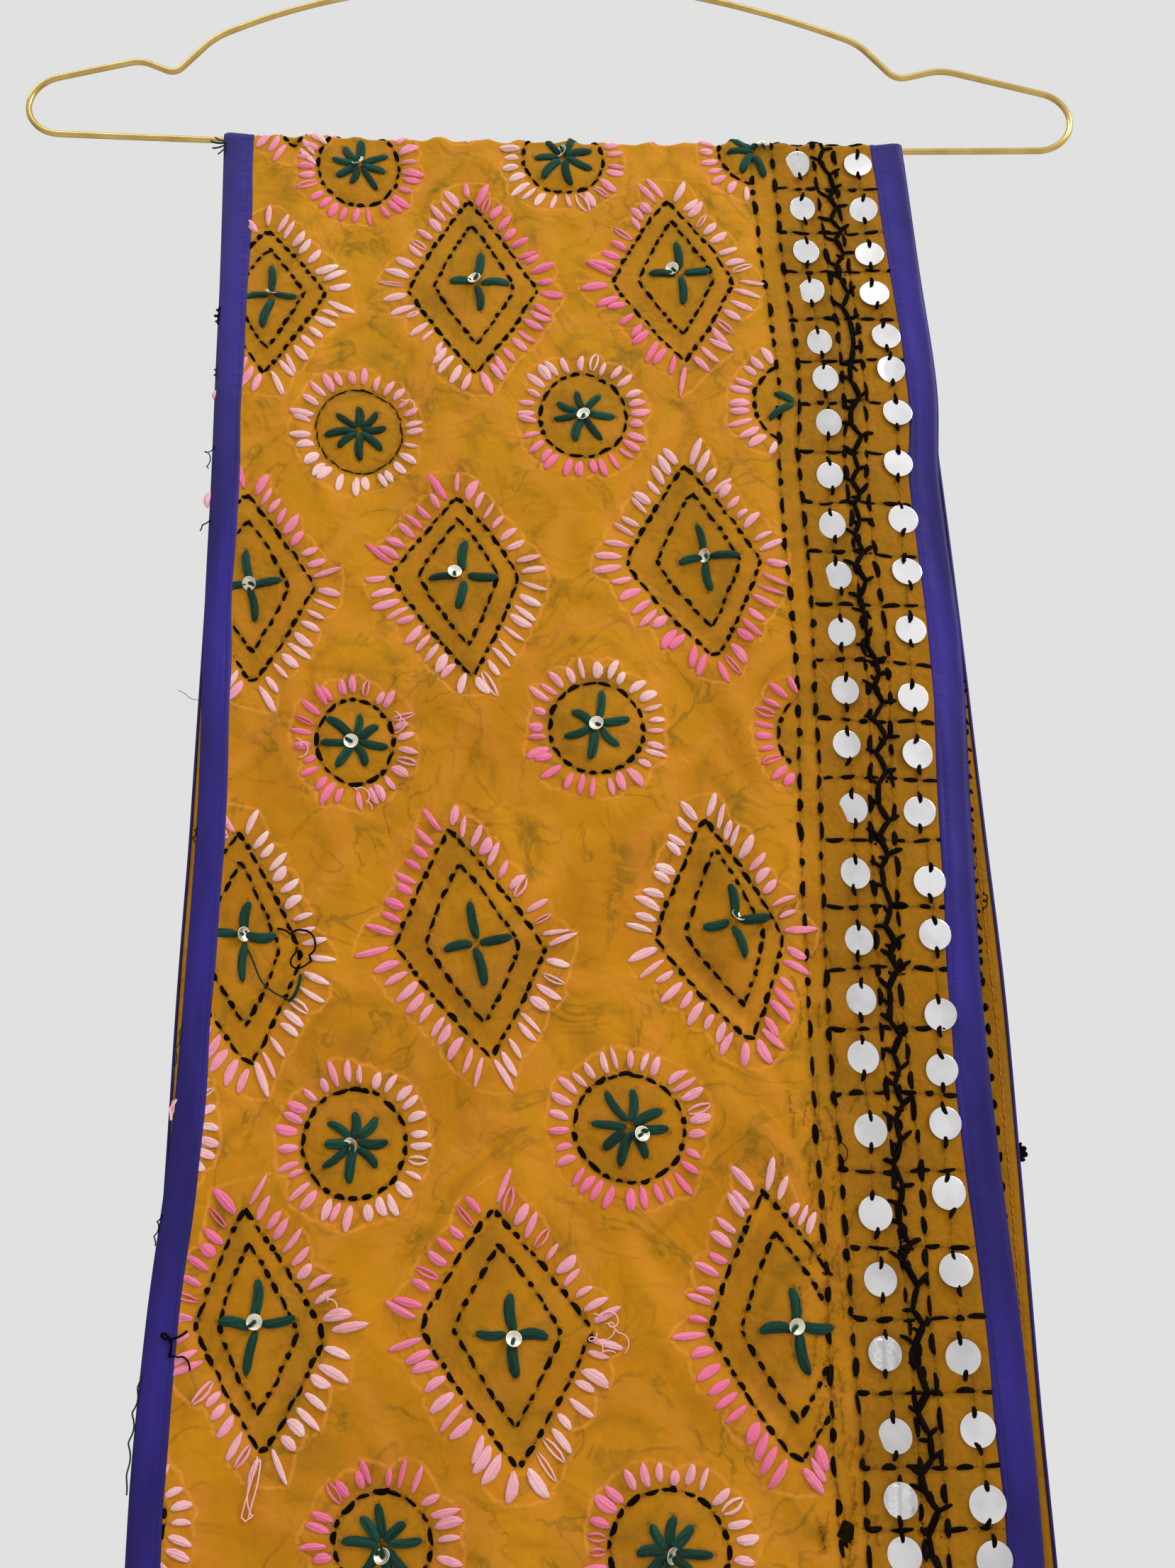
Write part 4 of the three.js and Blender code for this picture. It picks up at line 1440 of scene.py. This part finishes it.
def mirrorTemplate():
    startFresh()
    bpy.ops.mesh.primitive_cylinder_add(vertices=26, radius=0.5, depth=0.03, end_fill_type="NGON")
    piece = bpy.context.object
    editMode(True)
    bpy.ops.mesh.select_mode(type="FACE")
    selectFaces("DESELECT")
    editMode(False)
    for face in piece.data.polygons:
        face.select = face.normal.z > 0.9
    editMode(True)
    bpy.ops.mesh.inset(thickness=0.012, depth=0.004)
    for _ in range(3):
        bpy.ops.mesh.inset(thickness=0.13)
    bpy.ops.mesh.poke()
    editMode(False)
    return templateOf(piece)


def layFlat(acrossWay, alongWay):
    # the turn that lays a flat shape on the cloth
    xWay = Vector(acrossWay).normalized()
    zWay = xWay.cross(Vector(alongWay)).normalized()
    return Matrix((xWay, zWay.cross(xWay), zWay)).transposed()


def tipped(amount):
    return Matrix.Rotation(dice.gauss(0, amount), 3, "X") @ Matrix.Rotation(dice.gauss(0, amount), 3, "Y")


def makeMirrors():
    template = mirrorTemplate()
    copies = []
    for spot, (across, along) in enumerate(mirrorSpots):
        leans = spot < len(mirrorTable["left"])
        high = clothSkin + disc["clear"]
        rim = place(across + np.array([5, -5, 0, 0]), along + np.array([0, 0, 5, -5]), high)
        centre = 0.3 * rim.mean(axis=0) + 0.7 * place(across, along, high + 0.7 * leans)
        tip = tipped(0.05) @ Matrix.Rotation(disc["tip"][leans], 3, Vector(disc["tipAxis"]))
        spin = Matrix.Rotation(dice.uniform(0, 6.28), 3, "Z")
        bend = dice.gauss(0, 0.1) if dice.random() < 0.88 else dice.choice([-1, 1]) * dice.uniform(0.5, 0.9)
        curved = leans and round(clothAlong(along)) in mirrorDrops["bent"]
        bend = 0.6 if curved else bend
        local = template[0] * border["mirror"] * disc["share"] * dice.uniform(0.97, 1.03)
        bent = local.copy()
        bent[:, 2] += bend * (local[:, 0] / 5.85) ** 2 - min(bend, 0)
        bent[:, 2] += curved * (0.35 * np.sin(local[:, 0] * 1.5 + 0.6) + 0.35)
        bent = bent @ np.array(spin).T if abs(bend) < 0.4 else bent
        if leans:  # slightly oval discs
            off = bent[:, 0] * 0.87 + bent[:, 1] * 0.5
            oval = disc["oval"][0] - disc["oval"][1] * ramp(clothAlong(along), 330, 420)
            bent[:, :2] -= oval * off[:, None] * [0.87, 0.5]
        turn = layFlat(rim[0] - rim[1], rim[2] - rim[3])
        copies.append(bent @ np.array(turn @ tip).T + centre)
    return joinCopies("mirrors", template, np.array(copies), "mirror", smooth=False)


def cupTemplate():
    # a shallow dished disc with a hole, cut from a sphere
    startFresh()
    bpy.ops.mesh.primitive_uv_sphere_add(segments=14, ring_count=16, radius=0.8)
    piece = bpy.context.object
    editMode(True)
    for height, facing in ((-0.63, 1), (-0.79, -1)):
        selectFaces()
        bpy.ops.mesh.bisect(plane_co=(0, 0, height), plane_no=(0, 0, facing), clear_outer=True)
    selectFaces()
    bpy.ops.transform.translate(value=(0, 0, 0.8))
    editMode(False)
    solidify(piece, thickness=0.03, offset=1)
    return templateOf(piece)


def makeSequins():
    template = cupTemplate()
    copies = []
    for across, along in sequinSpots:
        steps = place(across + np.array([0, 2, 0]), along + np.array([0, 0, 2]), clothSkin + sequin["clear"])
        turn = layFlat(steps[1] - steps[0], steps[2] - steps[0]) @ tipped(sequin["tip"])
        copies.append((template[0] * sequin["size"]) @ np.array(turn).T + steps[0])
    return joinCopies("sequins", template, np.array(copies), "sequin")


embroidery.append(makeMirrors())
embroidery.append(makeSequins())

# loose ends: start, bend and end on the cloth, then curls, their size, thickness and height
looseEnds = {
    "green": [
        (0, 3.5, -3, 4.8, -6.4, 3.2, 0.3, 0.2, 0.8, 0.2), (0, 4.5, -3, 6.5, -5.6, 6.6, 0.3, 0.2, 0.7, 0.2),
        (0, 3, -2, 3, -4.6, 1.2, 0.3, 0.2, 0.6, 0.1), (0, 5.5, -2, 8, -3.4, 9.4, 0.3, 0.2, 0.6, 0.1),
        (-0.6, 372, -2.4, 380, -2.0, 392, 3, 0.5, 0.45, -0.3),
        (-0.6, 486, -2.6, 500, -1.8, 522, 4, 0.6, 0.6, -0.3),
        (20, 345, 27, 360, 36, 362, 0.8, 0.8, 0.7, 1.2), (36, 362, 40, 360, 39.5, 353, 0.5, 0.3, 1.3, 1.0),
    ],
    "black": [
        (-0.8, 84, -2.6, 88, -1.2, 92, 3, 0.8, 0.8, -0.3), (-1, 112, -2.4, 114, -1, 117, 2, 0.5, 0.4, -0.3),
        (-0.5, 148, -4.6, 152, -2.2, 158, 1.5, 1.5, 0.42, 0.0),
        (-0.5, 180, -3.0, 182, -4.2, 185, 1, 0.4, 0.5, 0.0),
        (-0.6, 302, -2.4, 304, -1.4, 308, 2, 0.6, 0.4, -0.3),
        (-0.6, 436, -2.4, 440, -1.4, 446, 2, 0.6, 0.45, -0.3),
        (30, 337, 45, 337, 43, 348, 1.6, 2.4, 0.75, 1.2), (43, 348, 34, 353, 37, 343, 1, 1.4, 0.65, 1.4),
        (12, 472, 2, 474, 8, 480, 1.3, 2.2, 0.75, 1.2), (8, 480, 12, 478, 14, 484, 1, 0.8, 0.6, 1.0),
        (281, -411, 283, -414, 281, -417, 3.4, 1.0, 1.2, 0.0),
        (281, -412, 282.5, -414, 281, -416, 4.2, 0.6, 1.2, 0.0),
        (283.5, 318, 285.5, 321, 283, 325, 3, 0.9, 0.5, 0.0),
        (226, 402, 230, 408, 226, 414, 1.5, 1.0, 0.4, 0.8),
    ],
    "pink": [
        (-0.5, 398, -2.6, 401, -1.6, 405, 1, 0.4, 0.9, -0.3),
        (37.4, 509, 36.5, 518, 33.4, 527, 0.5, 0.3, 0.5, 1.2),
        (38.4, 510, 39, 518, 35.6, 527.5, 0.5, 0.3, 0.5, 1.2),
        (37, 510, 34, 519, 36.8, 526.5, 0.5, 0.4, 0.5, 1.0),
        (33.4, 527, 36, 529, 37, 526, 1, 0.4, 0.5, 0.5),
        (143, 462, 154, 462, 147, 470, 2.3, 2.0, 0.42, 1.2),
        (144, 468, 140, 472, 150, 474, 1.7, 1.8, 0.42, 1.2),
        (147, 465, 156, 468, 153, 474, 1.2, 1.0, 0.42, 1.0),
        (55, 458, 62, 462, 56, 466, 1.6, 1.5, 0.45, 1.2), (70, 253, 78, 258, 70, 261, 1.2, 1.8, 0.45, 1.2),
        (34, 266, 40, 268, 35, 273, 1.2, 1.8, 0.42, 1.0), (55, 283, 60, 284, 62, 291, 1.9, 1.5, 0.45, 1.2),
        (71, 123, 79, 124, 74, 130, 1.4, 1.4, 0.45, 1.2),
    ],
    "ribbon": [
        (0.5, 251, -4.5, 255, -9.5, 250, 1, 0.8, 0.22, 0.3),
    ],
}


def curvePoints(start, control, end, count):
    t = np.linspace(0, 1, count)[:, None]
    return start * (1 - t) ** 2 + 2 * control * t * (1 - t) + end * t**2


def wirePiece(name, paths, sizes, closed):
    # round wire or thread along each path
    curve = bpy.data.curves.new(name, "CURVE")
    curve.dimensions = "3D"
    curve.bevel_depth = mm
    curve.bevel_resolution = 4 if closed or len(paths) == 1 else 1
    curve.use_fill_caps = True
    for points, size in zip(paths, sizes):
        spline = curve.splines.new("POLY")
        spline.points.add(len(points) - 1)
        places = np.concatenate([points * mm, np.ones((len(points), 1))], axis=1)
        spline.points.foreach_set("co", places.ravel())
        spline.points.foreach_set("radius", np.full(len(points), float(size)))
        spline.use_cyclic_u = closed
    piece = bpy.data.objects.new(name, curve)
    bpy.context.scene.collection.objects.link(piece)
    selectOnly(piece)
    bpy.ops.object.convert(target="MESH")
    return bpy.context.object


def looseThreads(kind):
    # curly ends that stand off the cloth
    t = np.linspace(0, 1, 34)
    paths, sizes = [], []
    for row in looseEnds[kind]:
        start, bend, end = np.array(row[:6], float).reshape(3, 2)
        curls, curl, thick, high = row[6:]
        path = curvePoints(start, bend, end, len(t))
        grow = curl * np.sin(math.pi * t) ** 0.7
        path = path + np.stack([np.cos(t * curls * 6.28), np.sin(t * curls * 6.28)], -1) * grow[:, None]
        lift = clothSkin + thick / 2 + high * np.sin(math.pi * t) ** 0.6 + 0.1
        paths.append(place(path[:, 0], clothAlong(path[:, 1]), lift))
        sizes.append(thick / 2)
    piece = wirePiece(f"loose_{kind}", paths, sizes, False)
    if kind == "pink":
        addField(piece.data, "shade", np.full(len(piece.data.vertices), 0.7))
    return finishPiece(piece, f"loose_{kind}", "seam" if kind == "ribbon" else kind)


embroidery += [looseThreads(kind) for kind in looseEnds]
print("embroidery done")


def arcPoints(centre, radius, start, end, count):
    turn = np.linspace(start, end, count)
    return np.stack([centre[0] + radius * np.cos(turn), centre[1] + radius * np.sin(turn)], -1)


def armRoute(corners, control):
    # from the bar's end round the bend, by each rounded corner, to the top of the arch
    radius = hanger["bendRadius"]
    sweep = hanger["bendSweep"] - math.pi / 2
    route = [arcPoints((hanger["barHalf"], radius), radius, -math.pi / 2, sweep, 24)]
    control = np.array(control, float)
    before = route[0][-1]
    for index, (x, z, cut) in enumerate(corners):
        corner = np.array([x, z], float)
        after = np.array(corners[index + 1][:2], float) if index + 1 < len(corners) else control
        entry = corner + (before - corner) / np.linalg.norm(before - corner) * cut
        leave = corner + (after - corner) / np.linalg.norm(after - corner) * cut
        route.append(curvePoints(entry, corner, leave, hanger["stepsPerCurve"]))
        before = corner
    route.append(curvePoints(route[-1][-1], control, np.array([0.0, control[1]]), 30)[1:])
    return np.vstack(route)


def hangerSpace(flat):
    # the hanger's own flat frame, turned by its tilt about the hold point
    x, z = flat[:, 0], flat[:, 1]
    cos, sin = math.cos(hanger["tilt"]), math.sin(hanger["tilt"])
    return np.stack([x * cos + z * sin, 0 * x, z * cos - x * sin], -1)


def bendWire(name, route, closed, *nodes):
    wire = wirePiece(name, [hangerSpace(route)], [hanger["wireRadius"]], closed)
    finishPiece(wire, name, "wire")
    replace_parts(wire, *nodes)


def makeHanger():
    right = armRoute(hanger["rightCorners"], hanger["rightArch"])
    left = armRoute(hanger["leftCorners"], hanger["leftArch"])
    across = np.linspace(-hanger["barHalf"], hanger["barHalf"], 40)[1:-1]
    bar = np.stack([across, hanger["barBow"] * ((across / hanger["barHalf"]) ** 2 - 1)], -1)
    loop = np.vstack([bar, right, left[::-1][1:] * [-1, 1]]) - [0, hanger["barDrop"]]
    bendWire("hanger_frame", loop, True, "hanger_bar", "hanger_arm_left", "hanger_arm_right")
    radius = hanger["hookRadius"]
    start = hanger["hookStart"]
    crown = arcPoints((0.0, 1.5 - radius), radius, start, hanger["hookEnd"], 60)
    foot = np.array([0.0, hanger["rightArch"][1] - hanger["barDrop"]])
    bendFoot = np.array([0.0, -hanger["stemBendDrop"]])
    t = np.linspace(0, 1, 20)[:, None]
    lead = crown[0] + 8 * np.array([math.sin(start), -math.cos(start)])
    rise = bendFoot + [0, 10]
    s = 1 - t
    neck = s**3 * bendFoot + 3 * t * s**2 * rise + 3 * t**2 * s * lead + t**3 * crown[0]
    stem = np.linspace(foot, bendFoot, 8)[:-1]
    bendWire("hanger_hook_wire", np.vstack([stem, neck[:-1], crown]), False, "hanger_hook")


makeHanger()
print("hanger done")

view = {
    "fromBar": (13.1, -641.2, -517.95),  # camera place from the middle of the bar
    "pitch": math.radians(20.5),
    "roll": math.radians(0.85),
    "lens": 43.8,
}
bpy.ops.object.camera_add()
camera = bpy.context.object
camera.data.lens = view["lens"]
camera.data.sensor_width = 36
camera.data.clip_start = 0.01
cameraPlace = Vector((barMiddle + np.array(view["fromBar"])) * mm)
cameraTurn = Matrix.Rotation(math.pi / 2 + view["pitch"], 4, "X") @ Matrix.Rotation(-view["roll"], 4, "Z")
camera.matrix_world = Matrix.Translation(cameraPlace) @ cameraTurn
bpy.context.scene.camera = camera

studio = {
    "backdrop": (0.755, 0.75, 0.748, 1),
    "low": (0.2, 0.197, 0.194, 1),
    "high": (0.92, 0.915, 0.91, 1),
    "brightWay": (0.42, -0.45, 0.79),  # where the room is brightest
    "patches": 0.16,
    "lamps": (  # name, place, aimed at, size, power
        ("windowLight", (1.5, -1.0, 0.8), (0, 0, -0.45), (0.7, 0.7), 21),
        ("overhead", (-0.4, -0.75, 1.0), (0, 0, -0.2), (1.8, 0.16), 7),
    ),
    "floorHeight": -1.45,
}


def lightWorld():
    # a plain pale backdrop for the eye; the light on the scarf comes from a room that is brighter above
    world = bpy.data.worlds.new("studio")
    bpy.context.scene.world = world
    world.use_nodes = True
    nodes = Nodes(world.node_tree)
    room = nodes.tree.nodes["Background"]
    way = nodes.node("ShaderNodeTexCoord")
    ways = {0: way, 1: studio["brightWay"]}
    aim = nodes.node("ShaderNodeVectorMath", {"operation": "DOT_PRODUCT"}, ways, output=1)
    spread = nodes.node("ShaderNodeMapRange", None, {"Value": aim, "From Min": -0.9})
    tone = nodes.mix(nodes.noise(way, 5) * (studio["patches"] * 2) + spread, studio["low"], studio["high"])
    nodes.tree.links.new(tone.output, room.inputs["Color"])
    sky = nodes.node("ShaderNodeBackground", None, {"Color": studio["backdrop"]})
    seen = nodes.node("ShaderNodeLightPath")
    blend = nodes.node("ShaderNodeMixShader", None, {0: seen, 1: Socket(nodes, room.outputs[0]), 2: sky})
    nodes.tree.links.new(blend.output, nodes.tree.nodes["World Output"].inputs["Surface"])


lightWorld()
for name, spot, target, size, power in studio["lamps"]:
    bpy.ops.object.light_add(type="AREA", location=spot)
    light = bpy.context.object
    light.name = name
    light.data.shape = "RECTANGLE"
    light.data.size, light.data.size_y = size
    light.data.energy = power
    light.rotation_euler = (Vector(target) - Vector(spot)).to_track_quat("-Z", "Y").to_euler()

startFresh()
bpy.ops.mesh.primitive_plane_add(size=8, location=(0, 0, studio["floorHeight"]))
floor = bpy.context.object
floor.name = "floor"
floorShader = Shader("paleFloor", Roughness=0.7)
floorTone = floorShader.noise(floorShader.objectPlace(), 3)
floorShader.feed(Base_Color=floorShader.mix(floorTone, rgb(224, 223, 222), rgb(218, 217, 216)))
floor.data.materials.append(floorShader.material)
floor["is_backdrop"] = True
bpy.context.scene.view_settings.view_transform = "Standard"
print("studio done")

size = {"cad": [list(corner) for corner in cadBox], "visual": [list(corner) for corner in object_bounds()]}
counts = {piece.name: sum(len(face.vertices) - 2 for face in piece.data.polygons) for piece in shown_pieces()}
print("triangles:", sum(counts.values()), counts)
